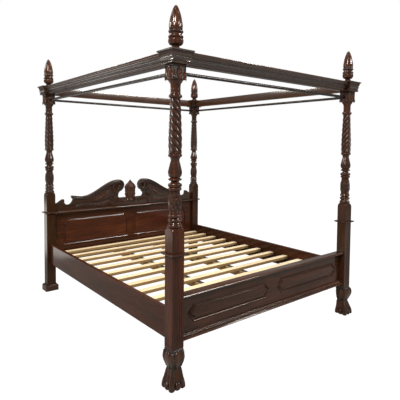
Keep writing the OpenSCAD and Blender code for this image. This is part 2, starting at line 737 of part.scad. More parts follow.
module footboard_base() {
  out = cap_rail_out;
  color(mahogany_dark) translate([0, foot_face_y, 0]) rotate([90, 0, -90])
    linear_extrude(height = 2 * inner_x, center = true)
      polygon([[0, rail_z], [out - 3, rail_z], [out, rail_z + 3], [out, rail_z + base_h * 0.35],
        [out * 0.7, rail_z + base_h * 0.5], [out * 0.4, rail_z + base_h * 0.85], [out * 0.3, rail_z + base_h],
        [0, rail_z + base_h]]);
}

// ---- headboard -----------------------------------------------------------------

// Outline of a headboard panel: square below, ogee shoulders cut from its top corners
function shoulder_panel(l, h, inset) = let (a = l / 2 - inset, b = h - inset, w = shoulder_w, s = shoulder_h)
  concat(
    [[-a, inset], [a, inset]],
    [for (i = [0 : 6]) [a - w * (0.5 - 0.5 * cos(30 * i)), b - s + s * 0.75 * i / 6]],
    [[a - w, b], [-a + w, b]],
    [for (i = [6 : -1 : 0]) [-a + w * (0.5 - 0.5 * cos(30 * i)), b - s + s * 0.75 * i / 6]]);

module headboard_panel_shape(side, inset) {
  translate([side * head_panel_x, head_panel_z])
    polygon(shoulder_panel(head_panel_l, head_panel_h, inset));
}

module headboard_frame() {
  top = shelf_top - shelf_h;
  mid_y = head_face_y + headboard_t / 2;
  color(mahogany) difference() {
    union() {
      slab([-inner_x, head_face_y, rail_z], [inner_x, head_back_y, top]);
      slab([-inner_x - tenon_l, mid_y - tenon_t / 2, rail_z + headboard_shoulder],
        [inner_x + tenon_l, mid_y + tenon_t / 2, top - headboard_shoulder]);
    }
    for (side = [-1, 1]) {
      upright(head_face_y - 1, head_face_y + head_rebate + clear / 2) headboard_panel_shape(side, 0);
      bearer_bar(side, clear / 2);
    }
  }
}

module headboard_panel(side) {
  color(mahogany) union() {
    upright(head_face_y + head_rebate / 4, head_face_y + head_rebate)
      headboard_panel_shape(side, clear / 2);
    upright(head_face_y - panel_proud, head_face_y + head_rebate / 3)
      headboard_panel_shape(side, panel_border);
  }
}

// Shelf moulding across the headboard, in line with the collars of the head posts
module headboard_shelf() {
  half = post_w / 2;
  front = post_y - half - collar_out;
  back = head_back_y + 8;
  l = 2 * (inner_x - collar_out) - 2 * clear;
  s = collar_out;
  y0 = head_face_y;
  color(mahogany_dark) rotate([90, 0, 90]) linear_extrude(height = l, center = true)
    polygon([[y0, shelf_top - shelf_h], [back, shelf_top - shelf_h], [back, shelf_top],
      [front + s * 0.15, shelf_top], [front, shelf_top - shelf_h * 0.16], [front, shelf_top - shelf_h * 0.42],
      [front + s * 0.4, shelf_top - shelf_h * 0.5], [y0 - s * 0.5, shelf_top - shelf_h * 0.8],
      [y0 - 3, shelf_top - shelf_h]]);
}

// ---- pediment ------------------------------------------------------------------

// Top edge of the curved moulding, as height above the shelf at distance x from the middle
function neck_top(x) = x > slope_x
  ? neck_low + (x - slope_x) * 0.15
  : neck_low + (scroll_top - neck_low) * (1 - cos(180 * (slope_x - x) / (slope_x - scroll_x))) / 2;

// The same edge from the outer tip to the top of the scroll
function neck_edge(n, drop) = [for (i = [0 : n]) let (x = tip_x + (scroll_x - tip_x) * i / n)
  [x, neck_top(x) - drop]];

// Half of the pediment board, right of the middle, as an outline above the shelf
function board_half() = let (ear_tip = inner_x - ear_w, dip = inner_x - dip_w, low = ear_h / 2) concat(
  [[0, 0], [inner_x, 0], [inner_x, ear_h * 0.64]],
  [for (i = [0 : 6]) let (t = i / 6)
    [inner_x - 8 - (inner_x - 16 - ear_tip) * t, ear_h * (0.66 + 0.17 * (1 - cos(180 * t)))]],
  [[ear_tip, ear_h * 0.98], [ear_tip - 2, low + 18]],
  [for (i = [1 : 3]) [dip - 34 * sin(-45 + 22.5 * i), low + 12 - 12 * cos(-45 + 22.5 * i)]],
  [for (i = [0 : 7]) let (t = i / 8)
    [tip_x + 8 * (1 - t) - 22 * sin(180 * t), low + 4 + (neck_low - low) * t]],
  neck_edge(24, 8),
  [[scroll_x, scroll_z], [scoop_x, scoop_z], [0, scoop_z]]);

module pediment_half() {
  difference() {
    polygon(board_half());
    translate([scoop_x, scoop_z]) circle(r = scoop_r, $fn = 48);
    polygon([[-1, scoop_z - scoop_r], [scoop_x, scoop_z - scoop_r], [scoop_x, scoop_z + 1],
      [-1, scoop_z + 1]]);
  }
  translate([scroll_x, scroll_z]) circle(r = scroll_r - 4, $fn = 64);
}

module pediment_board() {
  color(mahogany_dark) translate([0, 0, shelf_top]) upright(board_y, board_y + pediment_t) difference() {
    union() {
      pediment_half();
      mirror([1, 0]) pediment_half();
    }
    translate([0, acorn_rise]) acorn_outline(clear / 2);
  }
}

module swan_neck(side) {
  edge = neck_edge(32, 0);
  band = concat(edge, [for (i = [32 : -1 : 0]) [edge[i][0], edge[i][1] - neck_band * (0.75 + 0.25 * i / 32)]]);
  color(mahogany) mirror([side > 0 ? 0 : 1, 0, 0]) translate([0, 0, shelf_top]) union() {
    upright(board_y - neck_out, board_y) polygon(band);
    upright(board_y - neck_out - 6, board_y - neck_out + 1)
      polygon(concat(edge, [for (i = [32 : -1 : 0]) edge[i] - [0, neck_band * 0.3]]));
    upright(board_y - neck_out, board_y) translate([scroll_x, scroll_z]) circle(r = scroll_r, $fn = 64);
    translate([scroll_x, board_y - neck_out + 1, scroll_z]) rotate([90, 0, 0])
      turned([[scroll_r * 0.6, 0], [scroll_r * 0.6, 5], [scroll_r * 0.5, 8], [scroll_r * 0.3, 8],
        [scroll_r * 0.26, 12], [scroll_r * 0.1, 15]]);
  }
}

// Half width of the middle finial over its height, both as shares of its size
function acorn_half(t) = lookup(t, [
  [0, 0.36], [0.06, 0.40], [0.12, 0.34], [0.18, 0.36], [0.26, 0.42], [0.33, 0.47], [0.38, 0.45], [0.5, 0.455],
  [0.6, 0.475], [0.67, 0.5], [0.735, 0.44], [0.8, 0.35], [0.865, 0.22], [0.93, 0.11], [1, 0.02]]);

acorn_levels = 24;

// Upright outline of the middle finial from its foot, grown sideways by gap
module acorn_outline(gap) {
  half = [for (j = [0 : acorn_levels]) let (t = j / acorn_levels)
    [acorn_half(t) * acorn_w + gap, acorn_h * t]];
  polygon(concat(half, [for (j = [acorn_levels : -1 : 0]) [-half[j][0], half[j][1]]]));
}

module pediment_acorn() {
  n = 20;
  color(mahogany_dark) translate([0, board_y + pediment_t / 2, shelf_top + acorn_rise])
    loft([for (j = [0 : acorn_levels]) let (t = j / acorn_levels) [for (i = [0 : n - 1]) let (a = 360 * i / n)
      [acorn_half(t) * acorn_w * cos(a), acorn_half(t) * acorn_d * sin(a), acorn_h * t]]]);
}

// ---- nodes ---------------------------------------------------------------------

foot_post(-1);  // foot_post_left
foot_post(1);  // foot_post_right
head_post(-1);  // head_post_left
head_post(1);  // head_post_right
upper_post(-1, -1);  // upper_post_foot_left
upper_post(1, -1);  // upper_post_foot_right
upper_post(-1, 1);  // upper_post_head_left
upper_post(1, 1);  // upper_post_head_right
foot_collars();
head_collars();
head_plinth(-1);  // head_plinth_left
head_plinth(1);  // head_plinth_right
finial(-1, -1);  // finial_foot_left
finial(1, -1);  // finial_foot_right
finial(-1, 1);  // finial_head_left
finial(1, 1);  // finial_head_right
tester_corner(-1, -1);  // tester_corner_foot_left
tester_corner(1, -1);  // tester_corner_foot_right
tester_corner(-1, 1);  // tester_corner_head_left
tester_corner(1, 1);  // tester_corner_head_right
tester_rail_end(-1);  // tester_rail_foot
tester_rail_end(1);  // tester_rail_head
tester_rail_side(-1);  // tester_rail_left
tester_rail_side(1);  // tester_rail_right
curtain_rods_side();
curtain_rods_end();
side_rail(-1);  // side_rail_left
side_rail(1);  // side_rail_right
slat_ledger(-1);  // slat_ledger_left
slat_ledger(1);  // slat_ledger_right
bearer(-1);  // bearer_left
bearer(1);  // bearer_right
slat_tapes();
rail_bolts();
slat(1);  // slat_1
slat(2);  // slat_2
slat(3);  // slat_3
slat(4);  // slat_4
slat(5);  // slat_5
slat(6);  // slat_6
slat(7);  // slat_7
slat(8);  // slat_8
slat(9);  // slat_9
slat(10);  // slat_10
slat(11);  // slat_11
slat(12);  // slat_12
footboard_frame();
footboard_panel(-1);  // footboard_panel_left
footboard_panel(1);  // footboard_panel_right
footboard_cap();
footboard_base();
headboard_frame();
headboard_panel(-1);  // headboard_panel_left
headboard_panel(1);  // headboard_panel_right
headboard_shelf();
pediment_board();
swan_neck(-1);  // swan_neck_left
swan_neck(1);  // swan_neck_right
pediment_acorn();
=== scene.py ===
# %% [markdown]
# # A carved four-poster bed
# A dark mahogany bed with an open moulded canopy, a panelled headboard under a swan-neck
# pediment, and a base of pine slats. The joinery was drawn first as a CAD model; this script
# loads that model as a fixed frame and dresses it with turned, carved and polished surfaces.
# Everything is in one frame: the origin is on the floor under the middle of the bed, +X is the
# bed's right seen from its foot, +Y goes to the headboard and +Z up.

# %% Load the frame
import math

import bmesh
import bpy
import numpy as np
from mathutils import Matrix, Vector


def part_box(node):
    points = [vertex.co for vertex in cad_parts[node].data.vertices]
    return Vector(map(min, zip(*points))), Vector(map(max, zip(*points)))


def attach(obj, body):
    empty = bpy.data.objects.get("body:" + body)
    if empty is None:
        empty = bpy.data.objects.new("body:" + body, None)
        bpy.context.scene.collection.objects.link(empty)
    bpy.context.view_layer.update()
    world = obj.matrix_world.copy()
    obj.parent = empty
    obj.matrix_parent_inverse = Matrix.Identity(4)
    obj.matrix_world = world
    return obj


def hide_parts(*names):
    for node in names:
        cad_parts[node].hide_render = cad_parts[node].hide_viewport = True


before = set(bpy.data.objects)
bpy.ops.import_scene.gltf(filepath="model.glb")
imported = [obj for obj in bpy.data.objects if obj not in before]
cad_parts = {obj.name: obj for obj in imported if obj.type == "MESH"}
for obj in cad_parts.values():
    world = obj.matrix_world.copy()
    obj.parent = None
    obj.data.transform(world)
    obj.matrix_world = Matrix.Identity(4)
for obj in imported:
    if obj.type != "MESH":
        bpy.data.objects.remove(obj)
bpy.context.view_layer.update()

# %% [markdown]
# Sizes are worked out in millimetres, as on a joiner's drawing, and become metres only when a
# mesh is made. Most of them are read back from the CAD nodes' boxes, so the dressing follows
# the joinery; the few that a box can't tell, such as the levels inside a turned post, repeat
# the drawing's own values.

# %% Sizes
MM = 0.001


def box(node):
    """Lowest and highest corner of a CAD node in millimetres."""
    low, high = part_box(node)
    return np.array(low) / MM, np.array(high) / MM


plate_low, plate_high = box("tester_corner_foot_left")
post_x = -(plate_low[0] + plate_high[0]) / 2
post_y = -(plate_low[1] + plate_high[1]) / 2
post_w = 80
inner_x = post_x - post_w / 2
turned_z = box("foot_post_left")[1][2]
tester_z, cap_top = plate_low[2], plate_high[2]
rail_z = box("side_rail_left")[0][2]
shelf_top = box("headboard_shelf")[1][2]
head_face_y = box("headboard_frame")[0][1]
foot_face_y = box("footboard_frame")[0][1]
turn_r = 40  # largest radius of the turned rings, the vase and the bulb
neck_r = 29  # radius of the plain neck under the capital
capital_half = 44  # half the width of the capital
print("post centres at", round(post_x), round(post_y), "shelf at", round(shelf_top))

# %% [markdown]
# The bed stands on a plain white floor in a white room, so that the dark polish has something
# bright to mirror. The room is seen as plain white, but it lights the bed only dimly, or the
# polish would look milky. One soft lamp at the left gives the streaks on the turnings, a wide
# one at the right draws the long bright lines on the shelf, a large one overhead lights the
# slats, and a small one behind at the left draws the lines on the canopy's left side. A large
# sheet of light on the floor behind the bed is mirrored as grey in the undersides of the canopy
# mouldings. The view transform is Standard because the photograph's white is plain paper white.

# %% Floor, room and lamps
def lamp(name, place, target, width, height, watts):
    """A soft warm-white lamp at a place, turned to face a target point."""
    light = bpy.data.lights.new(name, "AREA")
    light.shape = "RECTANGLE"
    light.size, light.size_y = width, height
    light.energy = watts
    light.color = (1.0, 0.965, 0.91)
    holder = bpy.data.objects.new(name, light)
    bpy.context.scene.collection.objects.link(holder)
    holder.location = place
    holder.rotation_euler = (Vector(target) - Vector(place)).to_track_quat("-Z", "Y").to_euler()


lamp("key_lamp", (-4.6, -2.6, 4.8), (0, 0, 0.9), 1.0, 1.0, 310)
lamp("side_lamp", (3.3, -5.0, 4.2), (0, 0, 0.9), 2.2, 0.5, 240)
lamp("top_lamp", (0.3, 0.2, 6.0), (0, 0, 0.5), 3.0, 3.0, 200)
lamp("rear_lamp", (-3.4, 3.0, 3.6), (-0.85, -1.04, 1.8), 0.7, 0.7, 60)
lamp("floor_lamp", (-2.6, 4.4, 0.02), (-2.6, 4.4, 3.0), 2.6, 4.8, 80)

room = bpy.data.worlds.new("white_room")
room.use_nodes = True
backdrop = room.node_tree.nodes["Background"]
seen = room.node_tree.nodes.new("ShaderNodeLightPath")
level = room.node_tree.nodes.new("ShaderNodeMapRange")
level.inputs["To Min"].default_value = 0.32
level.inputs["To Max"].default_value = 1.0
room.node_tree.links.new(seen.outputs["Is Camera Ray"], level.inputs["Value"])
room.node_tree.links.new(level.outputs["Result"], backdrop.inputs["Strength"])
backdrop.inputs["Color"].default_value = (1, 1, 1, 1)
bpy.context.scene.world = room
bpy.context.scene.view_settings.view_transform = "Standard"

# %% [markdown]
# The camera stands off the bed's front left corner at about eye height and looks slightly down.
# Its place and lens were found by matching the corners of the bed to the photograph, which is
# a cropped picture: the lens axis meets it right of and above its middle, hence the shift.

# %% Camera
PICTURE = 400  # width and height of the photograph in pixels
FOCAL = 422.54  # focal length in pixels
AXIS_X, AXIS_Y = 220.43, 165.35  # the pixel where the lens axis meets the photograph
EYE = Vector((-2.1942, -3.0154, 1.3952))  # metres
yaw, pitch, roll = math.radians(40.469), math.radians(-2.831), math.radians(0.648)
forward = Vector((math.cos(pitch) * math.sin(yaw), math.cos(pitch) * math.cos(yaw), math.sin(pitch)))
right = Vector((math.cos(yaw), -math.sin(yaw), 0))
up = right.cross(forward)
side = right * math.cos(roll) + up * math.sin(roll)
top = up * math.cos(roll) - right * math.sin(roll)
camera_data = bpy.data.cameras.new("photo_camera")
camera_data.sensor_width = 36
camera_data.lens = FOCAL / PICTURE * camera_data.sensor_width
camera_data.shift_x = (PICTURE / 2 - AXIS_X) / PICTURE
camera_data.shift_y = (AXIS_Y - PICTURE / 2) / PICTURE
camera_data.clip_end = 60
camera = bpy.data.objects.new("photo_camera", camera_data)
bpy.context.scene.collection.objects.link(camera)
axes = Matrix((side, top, -forward)).transposed()
camera.matrix_world = Matrix.Translation(EYE) @ axes.to_4x4()
bpy.context.scene.camera = camera
print("lens", round(camera_data.lens, 2), "mm, looking along", tuple(round(v, 3) for v in forward))

# %% [markdown]
# Materials are node trees, and trees are long-winded to wire by hand. Two small classes make
# them readable: Value wraps a socket so that +, - and * on it add Math nodes, and Finish adds
# any other node from its type, its settings and the values of its sockets. Noise and its like
# are drawn in object coordinates, so a pattern belongs to the timber and not to the view.

# %% Shader maths
class Value:
    """A number or colour inside a material. Arithmetic on it adds Math nodes."""

    def __init__(self, finish, socket):
        self.finish, self.socket = finish, socket

    def __add__(self, other):
        return self.finish.math("ADD", self, other)

    def __radd__(self, other):
        return self.finish.math("ADD", other, self)

    def __rsub__(self, other):
        return self.finish.math("SUBTRACT", other, self)

    def __mul__(self, other):
        return self.finish.math("MULTIPLY", self, other)

    def clamp(self):
        return self.finish.add("ShaderNodeClamp", {}, {"Value": self})


class Finish:
    """A material under construction. add() makes a node: its type, its settings, then its sockets."""

    def __init__(self, name):
        self.material = bpy.data.materials.new(name)
        self.material.use_nodes = True
        self.tree = self.material.node_tree
        self.tree.nodes.clear()

    def add(self, kind, settings, sockets, output=0):
        node = self.tree.nodes.new(kind)
        for key, value in settings.items():
            if key == "stops":
                ramp = node.color_ramp
                while len(ramp.elements) < len(value):
                    ramp.elements.new(0.5)
                for element, (place, colour) in zip(ramp.elements, value):
                    element.position, element.color = place, colour
            else:
                setattr(node, key, value)
        for key, value in sockets.items():
            if isinstance(value, Value):
                self.tree.links.new(value.socket, node.inputs[key])
            else:
                node.inputs[key].default_value = value
        return Value(self, node.outputs[output])

    def math(self, operation, *terms):
        return self.add("ShaderNodeMath", {"operation": operation}, dict(enumerate(terms)))

    def place(self, stretch):
        """Object coordinates scaled along each axis: a small scale draws a pattern out."""
        where = self.add("ShaderNodeTexCoord", {}, {}, "Object")
        return self.add("ShaderNodeMapping", {}, {"Vector": where, "Scale": stretch})

    def noise(self, stretch, detail, roughness=0.5):
        """Noise whose grains are 1 / stretch metres long on each axis."""
        sockets = {"Vector": self.place(stretch), "Scale": 1.0, "Detail": detail, "Roughness": roughness}
        return self.add("ShaderNodeTexNoise", {}, sockets)

    def hollow(self):
        """The piece's own depth value: 1 in a hollow (painted shade and dirt), -1 on a ridge (wear and
        painted highlight).
        """
        return self.add("ShaderNodeAttribute", {"attribute_name": "hollow"}, {}, "Fac")

    def ramp(self, value, *stops):
        return self.add("ShaderNodeValToRGB", {"stops": stops}, {"Fac": value})

    def mix(self, mask, colour_a, colour_b):
        return self.add("ShaderNodeMix", {"data_type": "RGBA"}, {0: mask, 6: colour_a, 7: colour_b}, 2)

    def bump(self, height, distance, strength):
        sockets = {"Height": height, "Distance": distance, "Strength": strength}
        return self.add("ShaderNodeBump", {}, sockets)

    def surface(self, **sockets):
        """Ends the material in one Principled shader with these sockets."""
        named = {key.replace("_", " "): value for key, value in sockets.items()}
        shader = self.add("ShaderNodeBsdfPrincipled", {}, named)
        self.add_output(shader)
        return self.material

    def add_output(self, shader):
        end = self.tree.nodes.new("ShaderNodeOutputMaterial")
        self.tree.links.new(shader.socket, end.inputs["Surface"])


def grey(shade):
    return (shade, shade, shade, 1)


def drawn_out(along, across_grain, along_grain):
    """Scales that draw a pattern out along one axis: across_grain on two axes, along_grain on it."""
    scales = [across_grain] * 3
    scales[along] = along_grain
    return tuple(scales)


# %% [markdown]
# The floor gets the faintest mottling so that it isn't one flat number. The camera sees it
# mostly as a lit sheet of white paper, with only a fifth of its shadows left; the lamps and the
# bed see plain pale grey.

# %% The floor
floor_finish = Finish("studio_floor")
speckle = floor_finish.noise((3, 3, 3), 3)
floor_tone = floor_finish.mix(speckle, grey(0.37), grey(0.40))
floor_matt = floor_finish.add("ShaderNodeBsdfPrincipled", {}, {"Base Color": floor_tone, "Roughness": 0.85})
floor_glow = floor_finish.add("ShaderNodeEmission", {}, {"Color": (1, 1, 1, 1), "Strength": 1.25})
seen_directly = floor_finish.add("ShaderNodeLightPath", {}, {}, "Is Camera Ray")
floor_finish.add_output(floor_finish.add(
    "ShaderNodeMixShader", {}, {0: seen_directly * 0.8, 1: floor_matt, 2: floor_glow}))
floor_mesh = bpy.data.meshes.new("studio_floor")
FLOOR_REACH, FLOOR_Z = 30, -0.0005  # metres
floor_corners = [(x * FLOOR_REACH, y * FLOOR_REACH, FLOOR_Z) for x, y in ((-1, -1), (1, -1), (1, 1), (-1, 1))]
floor_mesh.from_pydata(floor_corners, [], [(0, 1, 2, 3)])
floor_mesh.materials.append(floor_finish.material)
floor = bpy.data.objects.new("studio_floor", floor_mesh)
bpy.context.scene.collection.objects.link(floor)
print("floor", floor.dimensions[:2])

# %% [markdown]
# Mahogany under a dark red-brown polish. The grain is a fine noise drawn out along the board,
# darker pores on top of slow bands of warmer and cooler brown. Carved pieces, mouldings and
# planks carry a "hollow" value at each point, from -1 on a ridge or an outside corner to 1 in a
# hollow, an inside corner or a plank's side. In a hollow the colour is nearly black and dull:
# painted shade, with the dirt and stain that stay there. On a ridge it is redder and lighter:
# rubbed wear, with a painted highlight. One recipe makes every mahogany finish: the grain runs
# along X, Y or Z, the panels and the near shaft are warmer, the side rails are rubbed duller,
# the head posts are darker and duller as painted shade, and the pediment and the canopy are
# colder and glossier. The curtain rods are stained black.

# %% Mahogany
# The ridge colour is rubbed wear with a painted highlight; the hollow colour is painted shade with dirt.
PORE, RUBBED_RIDGE_HIGHLIGHT, SHADE_AND_DIRT = (0.016, 0.0065, 0.0038, 1), (0.150, 0.052, 0.024, 1), (0.0050, 0.0030, 0.0022, 1)


def mahogany(name, along, warm, shine):
    """Polished mahogany with its grain along an axis (0, 1 or 2). warm adds orange to the brown, and
    shine sets how strongly the polish mirrors the room."""
    wood = Finish(name)
    pores = wood.noise(drawn_out(along, 190.0, 9.0), 4, 0.6)
    bands = wood.noise(drawn_out(along, 16.0, 2.2), 3, 0.55)
    hollow = wood.hollow()
    brown = wood.ramp(
        bands,
        (0.30, (0.033 + 0.012 * warm, 0.0118, 0.0048, 1)),
        (0.52, (0.050 + 0.022 * warm, 0.0152, 0.0058, 1)),
        (0.72, (0.076 + 0.036 * warm, 0.0225 + 0.006 * warm, 0.0082, 1)))
    grained = wood.mix(wood.ramp(pores, (0.35, grey(0.75)), (0.52, grey(0.0))), brown, PORE)
    # Ridges turn lighter and redder (rubbed wear with a painted highlight), hollows nearly black (painted
    # shade with dirt).
    rubbed_and_highlit = wood.mix((hollow * -0.55).clamp(), grained, RUBBED_RIDGE_HIGHLIGHT)
    shaded_and_dirty = wood.mix((hollow * 0.92).clamp(), rubbed_and_highlit, SHADE_AND_DIRT)
    rubbed = wood.noise((7, 7, 7), 4, 0.6)
    roughness = 0.08 + rubbed * 0.12 + pores * 0.05 + hollow.clamp() * 0.30
    relief = wood.bump(pores, 0.0004, 0.35)
    return wood.surface(Base_Color=shaded_and_dirty, Roughness=roughness, Normal=relief, Specular_IOR_Level=shine)


X, Y, Z = 0, 1, 2
MOULDING = mahogany("mahogany_across", X, -0.3, 0.42)
TURNING = mahogany("mahogany_upright", Z, 0.1, 0.38)
PANEL = mahogany("mahogany_panel", X, 0.8, 0.30)
HEADBOARD = mahogany("mahogany_headboard", X, 0.3, 0.24)
RAIL = mahogany("mahogany_side_rail", Y, 0.1, 0.14)
# A darker, duller copy of the shaft finish for the head posts: painted shade.
SHADED_HEAD_SHAFT = mahogany("mahogany_head_post_shaded", Z, -0.6, 0.18)
WARM_SHAFT = mahogany("mahogany_shaft", Z, 0.45, 0.20)
PEDIMENT = mahogany("mahogany_pediment", X, -0.4, 0.7)
COOL_SHAFT = mahogany("mahogany_cool", Z, -0.25, 0.36)
# A darker copy of the turning finish for the head posts: painted shade.
SHADED_HEAD_TURNING = mahogany("mahogany_dark", Z, -0.5, 0.36)
FOOTBOARD = mahogany("mahogany_footboard", X, -0.3, 0.30)
CANOPY_X = mahogany("mahogany_canopy_across", X, -0.6, 0.9)
CANOPY_Y = mahogany("mahogany_canopy_along", Y, -0.6, 0.9)

ebonised = Finish("ebonised_rods")
handled = ebonised.noise((30, 30, 30), 4, 0.6)
BLACK = ebonised.surface(
    Base_Color=ebonised.mix(handled, (0.0090, 0.0065, 0.0052, 1), (0.0230, 0.0150, 0.0110, 1)),
    Roughness=0.16 + handled * 0.16, Normal=ebonised.bump(handled, 0.0002, 0.4), Specular_IOR_Level=0.35)
print("finishes:", [m.name for m in bpy.data.materials])

# %% [markdown]
# The slats are sawn pine, left bare: pale cream sapwood with honey-coloured growth lines that
# run along the slat, a few knots, and a dry surface that hardly shines. Their sides and
# undersides are painted a darker orange from the same "hollow" value: painted shade.

# %% Pine
def pine(name, along, aged):
    """Bare pine with its grain along an axis (0 or 1). aged, 0 to 1, turns it to dark honey."""
    wood = Finish(name)
    rings = wood.noise(drawn_out(along, 26.0, 1.1), 2, 0.4)
    lines = wood.math("PINGPONG", rings * 9.0, 0.5) * 2.0
    fibres = wood.noise(drawn_out(along, 420.0, 16.0), 3, 0.6)
    board = wood.noise(drawn_out(1 - along, 0.6, 6.0), 1)
    spots = wood.add("ShaderNodeTexVoronoi", {}, {"Vector": wood.place((5.2, 7.5, 5.2)), "Scale": 1.0})
    knot = wood.ramp(spots, (0.035, grey(1.0)), (0.075, grey(0.0)))
    late_wood = wood.ramp(lines, (0.0, grey(0.0)), (0.78, grey(0.10)), (1.0, grey(0.55)))
    fresh = wood.mix(board, (0.62, 0.46, 0.24, 1), (0.93, 0.83, 0.62, 1))
    pale = wood.mix(aged, fresh, (0.46, 0.29, 0.12, 1))
    ringed = wood.mix(late_wood, pale, (0.56, 0.34, 0.14, 1))
    knotted = wood.mix(knot, ringed, (0.24, 0.11, 0.045, 1))
    # Sides and undersides of the slats painted darker orange: painted shade.
    side_shaded = wood.mix(wood.hollow() * 0.95, knotted, (0.25, 0.14, 0.045, 1))
    fibred = wood.mix(fibres * 0.14, side_shaded, (0.46, 0.30, 0.14, 1))
    relief = wood.bump(fibres + lines * 0.5, 0.0005, 0.4)
    roughness = 0.58 + fibres * 0.16
    return wood.surface(Base_Color=fibred, Roughness=roughness, Normal=relief, Specular_IOR_Level=0.35)


PINE_SLAT = pine("pine_slat", X, 0.0)
PINE_BEARER = pine("pine_bearer", Y, 0.7)
print("pine:", PINE_SLAT.name, PINE_BEARER.name)

# %% [markdown]
# Two small finishes: bright zinc-plated steel for the rail bolts, and the dark woven tape that
# keeps the slats apart, whose threads are two sets of fine ribs that take turns on top.

# %% Steel and tape
zinc = Finish("zinc_plated_steel")
scuffs = zinc.noise((90, 90, 90), 4)
STEEL = zinc.surface(
    Base_Color=zinc.mix(scuffs, (0.46, 0.47, 0.49, 1), (0.66, 0.66, 0.66, 1)), Metallic=1.0,
    Roughness=0.26 + scuffs * 0.22, Normal=zinc.bump(scuffs, 0.0002, 0.4))

tape = Finish("woven_tape")
place = tape.place((1, 1, 1))
warp = tape.add("ShaderNodeTexWave", {"bands_direction": "X"}, {"Vector": place, "Scale": 160.0})
weft = tape.add("ShaderNodeTexWave", {"bands_direction": "Y"}, {"Vector": place, "Scale": 120.0})
weave = warp * weft
TAPE = tape.surface(
    Base_Color=tape.mix(weave, (0.012, 0.011, 0.010, 1), (0.060, 0.052, 0.045, 1)),
    Roughness=0.88 - weave * 0.1, Normal=tape.bump(weave, 0.0004, 0.8))
print("small finishes:", STEEL.name, TAPE.name)

# %% [markdown]
# Every new piece starts as a grid of points: rows run along it and columns go round it, so
# neighbouring points make four-sided faces. The ends are closed by a flat face, by a fan that
# meets in a pole, or, where a ring is a folded strip, by a row of faces between its two halves.
# Whether the faces look outwards is told by the sign of the volume that they close off.

# %% Skins over grids
def skin(points, ends="flat", hollow=None):
    """A closed skin over a grid of rows by columns, the columns closing into rings. ends is flat,
    pole or strip (each ring is a strip folded in two)."""
    rows, columns = points.shape[:2]
    index = np.arange(rows * columns).reshape(rows, columns)
    a, b = index[:-1], index[1:]
    faces = [np.stack([a, np.roll(a, -1, 1), np.roll(b, -1, 1), b], -1).reshape(-1, 4)]
    xyz = points.reshape(-1, 3)
    depth = np.zeros(len(xyz)) if hollow is None else np.broadcast_to(hollow, (rows, columns)).ravel()
    if ends == "flat":
        faces += [index[:1, ::-1], index[-1:]]
    elif ends == "pole":
        poles = points[[0, -1]].mean(1)
        first = np.stack([np.roll(index[0], -1), index[0], np.full(columns, len(xyz))], -1)
        last = np.stack([index[-1], np.roll(index[-1], -1), np.full(columns, len(xyz) + 1)], -1)
        faces += [first, last]
        xyz, depth = np.vstack([xyz, poles]), np.append(depth, [0, 0])
    elif ends == "strip":
        half = columns // 2
        for ring, turn in ((index[0], -1), (index[-1], 1)):
            out, back = ring[:half], ring[::-1][:half]
            faces.append(np.stack([out[:-1], out[1:], back[1:], back[:-1]], -1)[:, ::turn])
    return xyz, outward(xyz, faces), depth


def outward(xyz, faces):
    """Turns all faces over if the volume that they close off comes out negative."""
    centred = xyz - xyz.mean(0)
    volume = 0.0
    for group in faces:
        corners = centred[group]
        for j in range(1, group.shape[1] - 1):
            volume += np.einsum("ij,ij->", corners[:, 0], np.cross(corners[:, j], corners[:, j + 1]))
    return faces if volume > 0 else [group[:, ::-1] for group in faces]


def moved(shape, flip=(1, 1, 1), shift=(0, 0, 0)):
    """A skin mirrored by signs and moved, with its faces still outwards."""
    xyz, faces, depth = shape
    xyz = xyz * np.array(flip) + np.array(shift)
    return xyz, outward(xyz, faces), depth


# %% [markdown]
# A piece gathers one or more skins into one mesh, turns millimetres into metres, stores its
# hollow value, gives the mesh its finish, parents it to the empty of the body that it rides on
# and hides the CAD nodes that it stands for. Edges sharper than the crease angle stay crisp;
# the rest is smooth.

# %% Pieces
CREASE = 32  # degrees


def piece(name, shapes, material, replaces, body="bed_frame", crease=CREASE):
    """One object from a list of skins."""
    points, faces, depths, start = [], [], [], 0
    for xyz, groups, depth in shapes:
        points.append(xyz)
        depths.append(depth)
        faces += [face for group in groups for face in (group + start).tolist()]
        start += len(xyz)
    mesh = bpy.data.meshes.new(name)
    mesh.from_pydata(np.vstack(points) * MM, [], faces)
    mesh.attributes.new("hollow", "FLOAT", "POINT").data.foreach_set(
        "value", np.concatenate(depths).astype(np.float32))
    finish_piece(name, mesh, material, replaces, body, crease)


def finish_piece(name, mesh, material, replaces, body, crease):
    """Links a mesh as a piece: material, smooth shading with creases, body, and the replaced nodes hidden."""
    mesh.materials.append(material)
    mesh.shade_smooth()
    mesh.set_sharp_from_angle(angle=math.radians(crease))
    made_object = bpy.data.objects.new(name, mesh)
    bpy.context.scene.collection.objects.link(made_object)
    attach(made_object, body)
    if replaces:
        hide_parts(*replaces)
    return made_object


def eased(node, name, material, width):
    """A CAD node's own shape with its longer sharp edges eased, as sandpaper does: a merged copy of
    its mesh, and a Bevel modifier that is told by a weight which edges to cut."""
    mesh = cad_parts[node].data.copy()
    mesh.materials.clear()
    work = bmesh.new()
    work.from_mesh(mesh)
    bmesh.ops.remove_doubles(work, verts=work.verts, dist=1e-5)
    bmesh.ops.dissolve_limit(work, angle_limit=math.radians(0.5), verts=work.verts, edges=work.edges)
    weight = work.edges.layers.float.new("bevel_weight_edge")
    for edge in work.edges:
        sharp = edge.calc_face_angle(0) > math.radians(35)
        edge[weight] = float(sharp and edge.calc_length() > 4 * width * MM)
    work.to_mesh(mesh)
    work.free()
    copy = finish_piece(name, mesh, material, [node], "bed_frame", CREASE)
    bevel = copy.modifiers.new("eased_edges", "BEVEL")
    bevel.width = width * MM
    bevel.segments = 2
    bevel.limit_method = "WEIGHT"
    bevel.harden_normals = True


